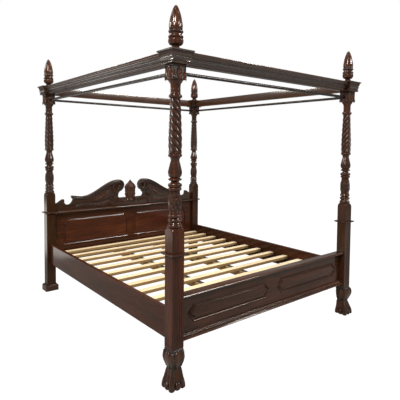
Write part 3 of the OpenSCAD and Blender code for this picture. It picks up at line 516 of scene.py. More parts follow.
def at_post(shapes, side, end):
    """Skins drawn round the origin for the front left post, mirrored and moved to a post."""
    return [moved(s, (-side, -end, 1), (side * post_x, end * post_y, 0)) for s in shapes]


CORNERS = {"foot_left": (-1, -1), "foot_right": (1, -1), "head_left": (-1, 1), "head_right": (1, 1)}

# %% [markdown]
# A turner's vocabulary is small: beads, coves and ogees stacked on one axis. Each is a formula
# for radius against height. The profiles repeat the CAD drawing's, so the turned piece fills
# exactly the space that its solid holds.

# %% Turner's profiles
def bead(z0, z1, r0, r1, n=10):
    """Half-round bead: the radius goes from r0 out to r1 and back as half a sine wave."""
    t = np.arange(n) / n
    return np.stack([r0 + (r1 - r0) * np.sin(np.pi * t), z0 + (z1 - z0) * (1 - np.cos(np.pi * t)) / 2], 1)


def ogee(z0, z1, ra, rb, n=10):
    """Smooth S: the radius goes from ra to rb as half a cosine wave."""
    t = np.arange(n) / n
    return np.stack([ra + (rb - ra) * (1 - np.cos(np.pi * t)) / 2, z0 + (z1 - z0) * t], 1)


def quarter(z0, z1, ra, rb, n=8):
    """Quarter curve that leaves ra steeply and reaches rb level."""
    t = np.pi / 2 * np.arange(n) / n
    return np.stack([ra + (rb - ra) * np.sin(t), z0 + (z1 - z0) * (1 - np.cos(t))], 1)


def stack(*parts):
    """Profiles and single points joined into one list of [radius, height]."""
    return np.vstack([np.atleast_2d(p) for p in parts])


def trace(profile, step):
    """The same profile with extra points, so that no two are further apart than about step."""
    along = np.append(0, np.cumsum(np.hypot(*np.diff(profile, axis=0).T)))
    at = np.unique(np.round(np.append(along, np.arange(0, along[-1], step)), 3))
    return np.stack([np.interp(at, along, profile[:, 0]), np.interp(at, along, profile[:, 1])], 1)


def lathe(profile, step, around, carve=None):
    """Turned solid: each profile point goes round in a circle. carve(angle, height) gives how far
    the surface stands out and how hollow it is there."""
    line = trace(profile, step)
    angle = np.linspace(0, 2 * np.pi, around, endpoint=False)
    radius, turn = np.meshgrid(line[:, 0], angle, indexing="ij")
    height = np.repeat(line[:, 1:], around, axis=1)
    out, hollow = carve(turn, height) if carve else (0, None)
    radius = np.maximum(radius + out, 0.3)
    points = np.stack([radius * np.cos(turn), radius * np.sin(turn), height], -1)
    return skin(points, "pole", hollow)


# %% [markdown]
# All the carving on the posts is made of one motif, the acanthus leaf. Seen flat, it is as wide
# as a sine arch that is pulled towards its base, its rim is nicked into lobes, it is domed
# across, and a rib runs up its middle with veins leaning away from it.

# %% The carver's leaf
def leaf(across, along, lobes=4):
    """Height of a carved leaf, 0 outside to about 1: across runs -1 to 1, along 0 at the base to 1
    at the tip. Width is a sine arch times a nicked rim; height is a dome plus a rib and veins."""
    t = np.clip(along, 0, 1)
    rim = np.sin(np.pi * t ** 0.8) ** 0.55 * (0.78 + 0.22 * np.abs(np.cos(lobes * np.pi * t)))
    x = np.abs(across) / np.maximum(rim, 0.02)
    inside = np.clip((1 - x) * 5, 0, 1) * (along > 0) * (along < 1)
    veins = 0.16 * np.cos(2 * np.pi * lobes * (t - 0.4 * x) + 1)
    rib = 0.22 * np.exp(-(across / 0.10) ** 2)
    return inside * (0.62 + 0.25 * np.sqrt(np.clip(1 - x * x, 0, 1)) + veins * x + rib)


def between(value, low, high, soft):
    """1 between two bounds and 0 outside, with a soft edge."""
    return np.clip((value - low) / soft, 0, 1) * np.clip((high - value) / soft, 0, 1)


def leaf_tier(angle, height, low, high, count, shift, depth, lean):
    """A ring of leaves round a turning between two heights, standing out by depth and leaning
    outwards at their tips by lean."""
    place = (angle / (2 * np.pi) * count + shift) % 1 * 2 - 1
    along = (height - low) / (high - low)
    shape = leaf(place, along)
    return shape * (depth + lean * np.clip(along, 0, 1) ** 2)


# %% [markdown]
# The upper posts carry the show: three rings, a vase wrapped in three tiers of leaves, more
# rings, a bulb with shallow petals, a six-strand rope twist, a plain neck, and a square capital.
# Up to the capital it is one turning whose radius is the profile plus a relief that depends on
# angle and height. A post is mirrored to reach its corner, and the head posts have the other
# twist to begin with, so the twists oppose each other from left to right only.

# %% Upper posts
vase_z = turned_z + 87
mid_z = vase_z + 123
bulb_z = mid_z + 76
low_ring_z = bulb_z + 112
twist_z = low_ring_z + 22
top_ring_z = twist_z + 308
neck_z = top_ring_z + 22
cup_z = neck_z + 53
capital_z = cup_z + 27
STRANDS, TURNS, GROOVE = 6, 1.27, 7.75


def rope_radius(t):
    """Outer radius of the rope twist from its foot (t = 0) to its top (t = 1)."""
    upper = turn_r - 1 - (turn_r - 1 - neck_r) * np.clip((t - 0.2) / 0.8, 0, 1) ** 1.3
    return np.where(t < 0.2, turn_r - 2.8 + 9 * t, upper)


rope_t = np.linspace(0, 1, 60)
cove = np.radians(15 * np.arange(1, 6))
bulb_t = np.arange(14) / 14
base_rings = stack(
    [18, turned_z - 70], [18, turned_z],
    bead(turned_z, turned_z + 21, turn_r - 6, turn_r + 1.5),
    ogee(turned_z + 21, turned_z + 32, turn_r - 6, turn_r - 10, 4),
    bead(turned_z + 32, turned_z + 52, turn_r - 10, turn_r),
    ogee(turned_z + 52, turned_z + 58, turn_r - 10, turn_r - 13, 3),
    [turn_r - 2, turned_z + 61], [turn_r - 0.5, turned_z + 66], [turn_r - 1.5, turned_z + 69],
    np.stack([turn_r - 1.5 - 6 * np.sin(cove), vase_z - 18 * np.cos(cove * 1.2)], 1))
vase = stack(
    ogee(vase_z + 1, vase_z + 36, turn_r - 7.5, turn_r - 1.5),
    ogee(vase_z + 60, mid_z, turn_r - 1.5, turn_r - 10.5))
mid_rings = stack(
    bead(mid_z, mid_z + 20, turn_r - 11.5, turn_r - 2), [turn_r - 6, mid_z + 20.5],
    bead(mid_z + 21, mid_z + 41, turn_r - 6, turn_r),
    ogee(mid_z + 41, mid_z + 50, turn_r - 9, turn_r - 18, 5),
    ogee(mid_z + 51, mid_z + 57, turn_r - 18, turn_r - 12, 3),
    bead(mid_z + 57, mid_z + 70, turn_r - 11, turn_r - 1.5), [turn_r - 13, mid_z + 74])
bulb = stack(
    quarter(bulb_z, bulb_z + 30, turn_r - 12, turn_r),
    np.stack([turn_r - 15.5 * bulb_t ** 1.15, bulb_z + 30 + 64 * bulb_t], 1),
    ogee(bulb_z + 97, low_ring_z, turn_r - 15.5, turn_r - 11, 4))
twist = stack(
    bead(low_ring_z, twist_z, turn_r - 11, turn_r - 0.5), [turn_r - 11, twist_z],
    np.stack([rope_radius(rope_t), twist_z + rope_t * (top_ring_z - twist_z)], 1),
    bead(top_ring_z, neck_z, neck_r - 1, turn_r - 2))
neck = stack(
    [neck_r, neck_z], [neck_r, neck_z + 5], [neck_r - 0.8, neck_z + 7],
    [neck_r - 0.8, neck_z + 24], [neck_r + 0.2, neck_z + 26], [neck_r - 0.8, neck_z + 28],
    [neck_r - 0.8, cup_z - 9], [neck_r, cup_z - 6], [neck_r, cup_z - 1],
    ogee(cup_z, cup_z + 22, neck_r, capital_half - 4),
    [capital_half - 3, cup_z + 23], [capital_half - 3, capital_z + 1])
post_profile = stack(base_rings, vase, mid_rings, bulb, twist, neck)


def carve_post(angle, height, hand):
    """Relief of the upper post: leaves on the vase, petals on the bulb and the cup, and the
    grooves of the twist, which turn with height, one way or the other by the sign of hand."""
    out = np.maximum.reduce([
        leaf_tier(angle, height + 3 * np.sin(3 * angle + k), vase_z - 12 + 20 * k, vase_z + 24 + 20 * k,
                  9, 0.41 * k, 2.2, 3.4 - 0.5 * (k % 3)) for k in range(6)])
    on_vase = between(height, vase_z, mid_z, 3)
    out = np.minimum(out - 3.6, (out - 3.6) * 1.5) * on_vase
    # Painted shade between the leaves, and lighter leaf tips: rubbed wear with a painted highlight.
    hollow = np.clip(-(out + 0.9) / 1.7, -1, 1) * on_vase
    petals = np.abs(np.cos(4 * angle)) ** 0.35
    on_bulb = between(height, bulb_z + 3, bulb_z + 72, 16)
    out += -1.6 * (1 - petals) * on_bulb
    # Painted shade in the grooves between the bulb's petals.
    hollow += 0.7 * (1 - petals) * on_bulb
    on_cup = between(height, cup_z + 1, cup_z + 20, 4)
    out += -1.5 * (1 - petals) * on_cup
    t = (height - twist_z) / (top_ring_z - twist_z)
    strand = np.abs(np.sin(STRANDS / 2 * (angle + 2 * np.pi * hand * TURNS * t)))
    on_twist = between(height, twist_z + 0.01, top_ring_z - 0.01, 2.5)
    out += -GROOVE * (1 - strand ** 0.8) * on_twist
    # Painted shade in the twist's grooves, and slightly lighter crests: rubbed wear with a painted highlight.
    hollow += on_twist * np.clip(1.9 - strand * 2.4, -0.3, 1)
    return out, np.clip(hollow, -1, 1)


def turned_post(hand):
    return lathe(post_profile, 3.2, 108, lambda angle, height: carve_post(angle, height, hand))


turned_posts = {end: turned_post(-end) for end in (-1, 1)}
print("turned post:", len(turned_posts[1][0]), "points")

# %% [markdown]
# Square mouldings need a square ring that can carry carving on its faces. Each point of the
# ring is a mix of three unit vectors: the face's own direction, its run along the face, and the
# rounded corner, so a half width, a corner radius and a relief turn it into a real outline.

# %% Square rings
def square_ring(per_side, per_corner=4):
    """Unit parts of a rounded square, one row per point: face direction, run along the face and
    corner direction, and how far along the face it is, -1 to 1."""
    face, run, round_, along = [], [], [], []
    for k in range(4):
        n = np.array([math.cos(k * math.pi / 2), math.sin(k * math.pi / 2)])
        t = np.array([-n[1], n[0]])
        u = np.linspace(-1, 1, per_side)[:, None]
        face.append(np.repeat(n[None], per_side, 0))
        run.append(u * t)
        round_.append(np.zeros((per_side, 2)))
        along.append(u[:, 0])
        a = (np.arange(1, per_corner) / per_corner * math.pi / 2)[:, None]
        face.append(np.zeros((per_corner - 1, 2)))
        run.append(np.repeat((n + t)[None], per_corner - 1, 0))
        round_.append(np.cos(a) * n + np.sin(a) * t)
        along.append(np.ones(per_corner - 1))
    return np.vstack(face), np.vstack(run), np.vstack(round_), np.concatenate(along)


def square_loft(profile, corner, carve, per_side):
    """Solid with a rounded square outline: profile gives half width and height, corner the corner
    radius, and carve(along the face, height) how far its faces stand out and how hollow they are."""
    face, run, round_, along = square_ring(per_side)
    half, height = profile[:, :1, None], profile[:, 1:]
    u, z = np.meshgrid(along, height[:, 0])
    out, hollow = carve(u, z)
    flat = face * (half + out[..., None]) + run * (half - corner) + round_ * corner
    points = np.concatenate([flat, z[..., None]], -1)
    return skin(points, "flat", hollow)


# %% [markdown]
# The capital is a block with an acanthus leaf on each face and half leaves towards its corners,
# whose tips curl out and hang over the cup below. The block is a square loft with leaf relief;
# the curls are small lofted drops at the four lower corners.

# %% Capitals
def carve_capital(u, z):
    """Relief of a capital's face: one tall leaf in the middle and two halves beside it, with veins
    that are cosine waves slanting down from the rib."""
    along = (z - capital_z - 3) / 72
    middle = leaf(u / 0.55, along, 5)
    sides = leaf((np.abs(u) - 1.0) / 0.42, (z - capital_z + 4) / 66, 4)
    shape = np.maximum(middle, sides * 0.9)
    shape += 0.35 * np.cos(16 * np.pi * (along - 0.45 * np.abs(u))) * (shape > 0.3)
    on = between(z, capital_z + 2, tester_z - 7, 4)
    # The hollow value paints shade between the leaves, and lightens their raised parts as rubbed wear with a
    # painted highlight.
    return (shape - 1.1) * 4.5 * on, np.clip(0.75 - shape * 1.4, -0.8, 0.8) * on


capital_line = trace(stack(
    [capital_half - 3, capital_z - 1], [capital_half - 2, capital_z],
    [capital_half + 0.5, capital_z + 4], [capital_half - 0.5, capital_z + 14],
    [capital_half - 1.5, capital_z + 30], [capital_half - 1, tester_z - 12],
    [capital_half - 0.2, tester_z - 9], [capital_half - 0.2, tester_z - 5],
    [capital_half, tester_z - 4], [capital_half, tester_z]), 2.2)
capital = square_loft(capital_line, 2.5, carve_capital, 45)


def curl(centre):
    """Leaf tip: a drop that bends outwards and down, a shrinking circle carried along an arc."""
    t = np.linspace(0, 1, 12)[:, None]
    a = np.linspace(0, 2 * np.pi, 12, endpoint=False)[None]
    bend = np.pi * 0.95 * t
    along = 6 * np.sin(bend)
    drop = 14 * np.cos(bend) - 2
    size = 6.5 * np.sin(np.pi * (0.18 + 0.80 * t)) ** 0.8
    cross_x, cross_z = size * np.cos(a) * np.cos(bend), size * np.cos(a) * np.sin(bend)
    wide = size * np.sin(a) * 0.8
    diagonal = 1 / math.sqrt(2)
    x = centre[0] + (along + cross_x) * diagonal + wide * diagonal
    y = centre[1] + (along + cross_x) * diagonal - wide * diagonal
    return skin(np.stack([x, y, centre[2] + drop - cross_z * 0.6], -1), "pole")


leaf_tip = curl((capital_half - 5.5, capital_half - 5.5, capital_z + 8))
curls = [moved(leaf_tip, (sx, sy, 1)) for sx in (-1, 1) for sy in (-1, 1)]
for corner, (side_sign, end_sign) in CORNERS.items():
    shapes = at_post([turned_posts[end_sign], capital] + curls, side_sign, end_sign)
    material = TURNING if end_sign < 0 else SHADED_HEAD_TURNING
    piece(f"upper_post_{corner}_carved", shapes, material, [f"upper_post_{corner}"])

# %% [markdown]
# The lower posts are square. At the top the corners are cut by a dome, the lamb's tongue, which
# brings the square to the first turned ring. The front pair have reeds worked into the face
# that looks down the bed, and end in a carved foot; the head pair go straight to the floor.

# %% Lower posts
def dome(points, low, high):
    """Brings square rings inside a circle that shrinks from the square's corner to the turned
    ring's radius along a quarter ellipse between two heights."""
    reach = post_w / 2 * math.sqrt(2) + 1
    t = np.clip((points[..., 2] - low) / (high - low), 0, 1)
    limit = turn_r - 2 + (reach - turn_r + 2) * np.sqrt(np.clip(1 - t * t, 0, 1))
    radius = np.hypot(points[..., 0], points[..., 1])
    scale = np.minimum(1, limit / radius)
    points = points.copy()
    points[..., :2] *= scale[..., None]
    return points


def shaft(bottom, reeded):
    """Square shaft from a height up to the first ring. If it is reeded, its -Y face carries
    half-round ridges, deep at the rail and dying out upwards."""
    heights = np.concatenate([[bottom, bottom + 20], np.linspace(rail_z - 10, turned_z - 60, 14),
                              turned_z - 46 * (1 - np.sin(np.linspace(0, np.pi / 2, 12)))])
    face, run, round_, along = square_ring(49, 4)
    points = face * (post_w / 2) + run * (post_w / 2 - 2) + round_ * 2
    z = np.repeat(heights[:, None], len(along), 1)
    on_face = (face[:, 1] < -0.5) * reeded
    ridge = np.abs(np.sin(np.pi * 2.5 * (along + 1)))
    inside = np.clip((0.9 - np.abs(along)) * 12, 0, 1)
    fade = np.clip((turned_z - 60 - z) / 400, 0, 1) * np.clip((z - rail_z + 30) / 30, 0, 1)
    cut = -3.0 * (1 - ridge ** 0.7) * inside * on_face * fade
    grid = np.concatenate([np.repeat(points[None], len(heights), 0), z[..., None]], -1)
    grid[..., 1] -= cut
    # The reeds' grooves get the hollow value: painted shade.
    return skin(dome(grid, turned_z - 46, turned_z), "flat", np.clip(-cut / 2.5, 0, 1))


# %% [markdown]
# The carved foot is a knee, an ankle and a paw. Its rings are superellipses, squares with round
# corners, that lean out to the bed's corner at the knee and the paw. The paw's corner toes, a
# knuckle with a crease on each face and the leaves that hang on the knee are bumps and cuts
# added to the radius, most of them bell curves in angle and height.

# %% Carved feet
FOOT_H, FOOT_W, ANKLE_W, KNEE_W, FOOT_OUT = 235, 104, 66, 100, 9
FOOT_LEVELS = [0, 0.1, 0.22, 0.34, 0.45, 0.55, 0.66, 0.77, 0.9, 0.945, 0.962, 1]
FOOT_HALF = [FOOT_W * 0.5, FOOT_W * 0.49, FOOT_W * 0.44, (FOOT_W + ANKLE_W) * 0.22, ANKLE_W / 2,
             (KNEE_W + ANKLE_W) * 0.23, KNEE_W * 0.46, KNEE_W / 2, KNEE_W * 0.47, KNEE_W * 0.45,
             post_w / 2 + 1, post_w / 2]


def bell(value, middle, width):
    return np.exp(-((value - middle) / width) ** 2)


def foot_skin():
    """Foot: a superellipse whose half width follows the CAD foot and which leans out to the bed's
    corner at knee and paw, with toes, knuckles and leaves cut into it."""
    z = np.concatenate([np.linspace(0, 8, 4), np.linspace(10.5, FOOT_H, 92)])[:, None]
    a = np.linspace(0, 2 * np.pi, 160, endpoint=False)[None]
    half = np.interp(z / FOOT_H, FOOT_LEVELS, FOOT_HALF) - 2.5 * bell(z, 0, 4)
    lean = FOOT_OUT * np.interp(z / FOOT_H, [0, 0.2, 0.45, 0.72, 0.86, 0.97], [1, 0.9, 0, 0.9, 0.85, 0])
    power = np.interp(z, [0, 60, 110], [5, 5, 8])
    squared = (np.abs(np.cos(a)) ** power + np.abs(np.sin(a)) ** power) ** (-1 / power)
    face_angle = (a + np.pi / 4) % (np.pi / 2) - np.pi / 4
    toe_angle = a % (np.pi / 2) - np.pi / 4
    low = np.interp(z, [0, 6, 40, 75, 110], [0.7, 1, 1, 0.6, 0])
    toes = low * (6.0 * bell(toe_angle, 0, 0.23) - 4.0 * bell(np.abs(toe_angle), 0.40, 0.09))
    ball = np.hypot(face_angle * 45 / 16, (z - 25) / 20)
    knuckle = 7.0 * np.clip(1 - ball ** 2, 0, 1) ** 0.6 - 5.0 * bell(ball, 1.15, 0.15) * (z > 20)
    ridge = 2.5 * bell(np.abs(toe_angle), 0.0, 0.2) * between(z, 60, 125, 25)
    knee_leaf = leaf(face_angle / 0.60, (222 - z) / 112, 5)
    knee_side = leaf(toe_angle / 0.34, (216 - z) / 96, 4)
    carved = np.maximum(knee_leaf, knee_side * 0.9)
    on_knee = between(z, 108, 224, 5)
    out = toes + knuckle + ridge + (carved - 0.85) * 5.0 * on_knee
    # Painted shade in the creases round the toes and knuckles and between the knee leaves, lighter leaf tops
    # as rubbed wear with a painted highlight, and a painted shade line under the shaft at the top of the
    # knee.
    hollow = np.clip(-(toes + knuckle) / 4, 0, 1) + np.clip(1 - carved * 1.4, -0.6, 1) * on_knee
    hollow = hollow + bell(z, 224, 3)
    radius = half * squared + out * np.interp(z, [0, 3, 222, 228], [0.6, 1, 1, 0])
    arch = 7 * bell(np.abs(toe_angle), 0.42, 0.12) * np.clip(1 - z / 40, 0, 1)
    points = np.stack([radius * np.cos(a) - lean, radius * np.sin(a) - lean, z + arch], -1)
    return skin(points, "flat", np.clip(hollow, -1, 1))


foot = foot_skin()
shaft_finishes = {
    "foot_left": WARM_SHAFT, "foot_right": COOL_SHAFT, "head_left": SHADED_HEAD_SHAFT, "head_right": SHADED_HEAD_SHAFT}
for corner, (side_sign, end_sign) in CORNERS.items():
    front = end_sign < 0
    node = corner.replace("_", "_post_")
    if front:
        piece(f"{node}_paw", at_post([foot], side_sign, end_sign), COOL_SHAFT, [])
    square = shaft(FOOT_H - 6 if front else 0, front)
    piece(f"{node}_worked", at_post([square], side_sign, end_sign), shaft_finishes[corner], [node])

# %% [markdown]
# The canopy is a frame of four cornice mouldings with a block over each post. A straight
# moulding is its cross-section pushed along a line. The section here has the same steps as the
# CAD cornice, with each step drawn as the fillet, cove or ogee that a moulding plane cuts.

# %% Straight mouldings
def rounded(points, radius=1.2, steps=4):
    """A closed outline with each corner replaced by an arc-like cut: points slide from one edge to
    the next on a quadratic curve that starts and ends at most radius from the corner."""
    before, after = np.roll(points, 1, 0), np.roll(points, -1, 0)
    into, away = before - points, after - points
    long_in, long_away = np.hypot(*into.T), np.hypot(*away.T)
    cut_in = into / long_in[:, None] * np.minimum(radius, long_in * 0.4)[:, None]
    cut_away = away / long_away[:, None] * np.minimum(radius, long_away * 0.4)[:, None]
    t = np.linspace(0, 1, steps)[None, :, None]
    start, corner, end = (p[:, None] for p in (points + cut_in, points, points + cut_away))
    curve = (1 - t) ** 2 * start + 2 * t * (1 - t) * corner + t ** 2 * end
    return curve.reshape(-1, 2)


def corner_shade_and_wear(line):
    """Hollow value of each point of a closed section, from the angle by which the outline turns
    there: inside corners get painted shade with dirt, and outside ones are lighter, rubbed wear
    with a painted highlight."""
    into, away = line - np.roll(line, 1, 0), np.roll(line, -1, 0) - line
    turn = np.arctan2(into[:, 0] * away[:, 1] - into[:, 1] * away[:, 0], (into * away).sum(1))
    return np.clip(-turn * np.sign(turn.sum()) * 0.9, -0.2, 1)


def moulding(section, start, end, axis):
    """A section of [out, up] points pushed from start to end along X (axis 0) or Y (axis 1). Along X
    it looks towards -Y, along Y towards -X."""
    section = np.array(section, float)
    line = rounded(section)
    # Painted shade with dirt in the section's inside corners, lighter outside corners.
    hollow = np.repeat(corner_shade_and_wear(section), len(line) // len(section))
    places = np.array([start, start + 0.6, end - 0.6, end])
    shrink = np.array([0.6, 0, 0, 0.6])[:, None, None]
    spoke = line - line.mean(0)
    rows = line[None] - (spoke / np.maximum(np.hypot(*spoke.T), 1)[:, None])[None] * shrink
    run = np.repeat(places[:, None], len(line), 1)
    out, height = -rows[..., 0], rows[..., 1]
    points = np.stack([run, out, height] if axis == X else [out, run, height], -1)
    return skin(points, "flat", hollow)


def arc(p, q, bulge, n=5):
    """Points from p to q that bow sideways by bulge, as a share of the distance."""
    p, q = np.array(p, float), np.array(q, float)
    t = np.linspace(0, 1, n)[:, None]
    sideways = np.array([-(q - p)[1], (q - p)[0]])
    return p + (q - p) * t + sideways * bulge * 4 * t * (1 - t)


def cornice(out, core):
    """Cross-section of the canopy moulding: fillet, cove, fillet, ogee, fillet and flat band. It
    stands out by out from a square core, whose half width is core."""
    z, h = tester_z, cap_top - 6 - tester_z
    f = core
    return np.vstack([
        [[-core, z], [f, z], [f + out * 0.10, z + 1], [f + out * 0.12, z + h * 0.15]],
        arc([f + out * 0.16, z + h * 0.18], [f + out * 0.28, z + h * 0.32], 0.16),
        [[f + out * 0.34, z + h * 0.33], [f + out * 0.34, z + h * 0.40]],
        arc([f + out * 0.40, z + h * 0.41], [f + out * 0.60, z + h * 0.58], 0.22),
        [[f + out * 0.66, z + h * 0.59], [f + out * 0.66, z + h * 0.63]],
        arc([f + out * 0.70, z + h * 0.64], [f + out * 0.92, z + h * 0.80], -0.2),
        [[f + out * 0.95, z + h * 0.81], [f + out, z + h * 0.86], [f + out, z + h], [-core, z + h]]])


CORNER_HALF = 58
section = cornice(37.0, 20.0)
front_rail = moulding(section, CORNER_HALF - post_x, post_x - CORNER_HALF, X)
left_rail = moulding(section, CORNER_HALF - post_y, post_y - CORNER_HALF, Y)
for end, s in (("foot", 1), ("head", -1)):
    rail = moved(front_rail, (1, s, 1), (0, -s * post_y, 0))
    piece(f"canopy_rail_{end}", [rail], CANOPY_X, [f"tester_rail_{end}"])
for side, s in (("left", 1), ("right", -1)):
    rail = moved(left_rail, (s, 1, 1), (-s * post_x, 0, 0))
    piece(f"canopy_rail_{side}", [rail], CANOPY_Y, [f"tester_rail_{side}"])

# %% [markdown]
# The corner blocks, the collars and the plinths are mitred square mouldings. They already have
# the right shape in CAD, with the pockets and bores that the joints need, so a copy of each is
# kept and only its edges are eased, which gives them the fine bright lines of real woodwork.

# %% Blocks, collars and plinths
for corner in CORNERS:
    eased(f"tester_corner_{corner}", f"canopy_block_{corner}", CANOPY_X, 1.2)
for end in ("foot", "head"):
    eased(f"{end}_collars", f"collars_{end}", MOULDING, 1.0)
for side in ("left", "right"):
    eased(f"head_plinth_{side}", f"plinth_{side}", MOULDING, 1.5)

# %% [markdown]
# Each finial is a turned acorn: a flared foot, a ball, two rings and a long nut on which pointed
# lobes hang from the smooth tip. It lifts off its post, so it has its own pin and its own body.

# %% Finials
FINIAL_H, NUT_H, LOBES = 252, 133, 8
z0 = cap_top
nut_z = z0 + FINIAL_H - NUT_H
nut_t = np.linspace(0, 1, 26)
finial_profile = stack(
    [7, z0 - 45], [8, z0 - 44], [8, z0],
    [36, z0], [37, z0 + 0.8], [39, z0 + 4], [36, z0 + 6], [31, z0 + 8],
    ogee(z0 + 10, z0 + 22, 29, 20, 7), [21, z0 + 26],
    quarter(z0 + 30, z0 + 54, 26, 43, 10), [43, z0 + 58], [41.5, z0 + 63], [38, z0 + 68],
    bead(z0 + 69, z0 + 83, 38, 42.5), [35, z0 + 85], [34.5, z0 + 91], [35, z0 + 97],
    bead(z0 + 98, z0 + 112, 36, 42), [36, z0 + 114],
    np.stack([38.5 * np.cos(np.radians(89 * nut_t)) ** 0.62, nut_z + NUT_H * nut_t], 1), [0.4, z0 + FINIAL_H])


def carve_finial(angle, height):
    """Nut: a smooth tip from which two rows of pointed lobes hang, each narrowing downwards as a
    quarter sine wave. The ball below has shallow gadroons, and the upper ring is nicked."""
    t = (height - nut_z) / NUT_H
    shape = 0
    for shift, end, start in ((0.0, 0.03, 0.74), (0.5, -0.06, 0.42)):
        across = np.abs((angle / (2 * np.pi) * LOBES + shift) % 1 * 2 - 1)
        wide = np.sin(np.pi / 2 * np.clip((t - end) / 0.34, 0, 1)) ** 0.7
        lobe = np.clip((wide - across) * 4, 0, 1) * (0.75 + 0.25 * np.clip(1 - across ** 2, 0, 1))
        lobe += 0.35 * bell(t, end + 0.14, 0.09) * (across < wide * 0.8)
        shape = np.maximum(shape, lobe * np.clip((start + 0.1 - t) / 0.1, 0, 1) * (1 if shift == 0 else 0.75))
    on_nut = between(t, -0.02, 0.82, 0.06)
    ball = between(height, z0 + 33, z0 + 60, 5)
    petals = 1 - np.abs(np.cos(5 * angle)) ** 0.35
    nicks = (1 - np.abs(np.cos(10 * angle)) ** 0.5) * between(height, z0 + 97, z0 + 113, 3)
    out = (shape - 1.0) * 3.4 * on_nut - 2.2 * petals * ball - 1.8 * nicks
    # Painted shade between the lobes and in the gadroons and nicks; lighter lobes and gadroon crests, rubbed
    # wear with a painted highlight.
    return out, np.clip((1 - shape * 1.5) * on_nut + (petals * 1.6 - 0.6) * ball + nicks * 1.3, -0.8, 1)


finial_skin = lathe(finial_profile, 3.2, 96, carve_finial)
for corner, (side_sign, end_sign) in CORNERS.items():
    piece(f"finial_{corner}_carved", at_post([finial_skin], side_sign, end_sign), TURNING,
          [f"finial_{corner}"], body=f"finial_{corner}_body")

# %% [markdown]
# The curtain rods run from capital to capital: plain turned poles, a hair thicker in the middle
# than at the ends, as long poles are turned.

# %% Curtain rods
def rod(length, axis, centre):
    """Round pole along X (axis 0) or Y (axis 1). Its radius is 10.6 mm at the ends and swells to
    10.95 mm in the middle, as a squared cosine."""
    along = np.linspace(-length / 2, length / 2, 61)[:, None]
    a = np.linspace(0, 2 * np.pi, 32, endpoint=False)[None]
    radius = 10.6 + 0.35 * np.cos(np.pi * along / length) ** 2
    line, across, upwards = np.broadcast_arrays(along, radius * np.cos(a), radius * np.sin(a))
    points = np.stack([line, across, upwards] if axis == X else [across, line, upwards], -1)
    return moved(skin(points), shift=centre)


rod_z = tester_z - 45
SOCKET = 14
rod_cut = 2 * (capital_half - SOCKET)
long_rods = [rod(2 * post_y - rod_cut, Y, (s * post_x, 0, rod_z)) for s in (-1, 1)]
short_rods = [rod(2 * post_x - rod_cut, X, (0, s * post_y, rod_z)) for s in (-1, 1)]
piece("curtain_rods_long", long_rods, BLACK, ["curtain_rods_side"])
piece("curtain_rods_short", short_rods, BLACK, ["curtain_rods_end"])

# %% [markdown]
# Sawn timber is never perfectly square. A plank here is a rounded rectangle carried along its
# length, with its end edges eased too, and each slat bows by a fraction of a millimetre in its
# own way. The size and place of every plank are read from its CAD node.

# %% Planks and slats
def plank(low, high, axis, ease, bow=0.0, phase=0.0):
    """Board between two corners, long along an axis. Its section is a rounded rectangle; rows near
    the ends shrink by the easing, and bow lifts it by two slow sine waves along its length."""
    low, high = np.array(low, float), np.array(high, float)
    centre, half = (low + high) / 2, (high - low) / 2
    others = [i for i in range(3) if i != axis]
    a = np.radians(np.array([0, 30, 60, 90]))[None] + np.radians(np.arange(4) * 90)[:, None]
    corner = np.sign(np.cos(a[:, 1:2] + 0.2)), np.sign(np.sin(a[:, 1:2] + 0.2))
    cos_a, sin_a = np.cos(a).ravel(), np.sin(a).ravel()
    corner_u, corner_v = np.repeat(corner[0], 4, 1).ravel(), np.repeat(corner[1], 4, 1).ravel()
    t = np.concatenate([[0, ease * 0.4, ease], np.linspace(12, 2 * half[axis] - 12, 9),
                        2 * half[axis] - np.array([ease, ease * 0.4, 0])])
    shrink = np.concatenate([[ease, ease * 0.35], np.zeros(11), [ease * 0.35, ease]])[:, None]
    u = corner_u * (half[others[0]] - ease - shrink) + cos_a * ease
    v = corner_v * (half[others[1]] - ease - shrink) + sin_a * ease
    s = (t / (2 * half[axis]))[:, None]
    waves = np.sin(2 * np.pi * (s + phase)) + 0.6 * np.sin(2 * np.pi * (2.3 * s + phase * 3))
    lift = bow * waves * np.sin(np.pi * s)
    points = np.zeros((len(t), len(u[0]), 3))
    points[..., axis] = (low[axis] + t)[:, None]
    points[..., others[0]] = centre[others[0]] + u
    points[..., others[1]] = centre[others[1]] + v + lift
    # Hollow value 1 on the sides and underside and 0 on the top, which the finishes paint darker: painted
    # shade.
    upper = np.clip((v - half[others[1]] + ease) / ease, 0, 1)
    return skin(points, "flat", 1 - upper)


SLATS, TAPE_W = 12, 40
for number in range(1, SLATS + 1):
    board = plank(*box(f"slat_{number}"), X, 2.2, 0.22, number * 0.37)
    piece(f"slat_{number}_sawn", [board], PINE_SLAT, [f"slat_{number}"])
for name in ("left", "right"):
    ledger = plank(*box(f"slat_ledger_{name}"), Y, 1.5)
    piece(f"ledger_{name}_planed", [ledger], RAIL, [f"slat_ledger_{name}"])
    bearer = plank(*box(f"bearer_{name}"), Y, 2.0)
    piece(f"bearer_{name}_sawn", [bearer], PINE_BEARER, [f"bearer_{name}"])
    eased(f"side_rail_{name}", f"side_rail_{name}_planed", RAIL, 3.0)

tape_low, tape_high = box("slat_tapes")
tapes = []
for s in (-1, 1):
    tape_x = s * (tape_high[0] - TAPE_W / 2)
    tapes.append(plank((tape_x - TAPE_W / 2, *tape_low[1:]), (tape_x + TAPE_W / 2, *tape_high[1:]), Y, 0.5))
piece("slat_tapes_woven", tapes, TAPE, ["slat_tapes"])
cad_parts["rail_bolts"].data.materials.clear()
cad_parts["rail_bolts"].data.materials.append(STEEL)

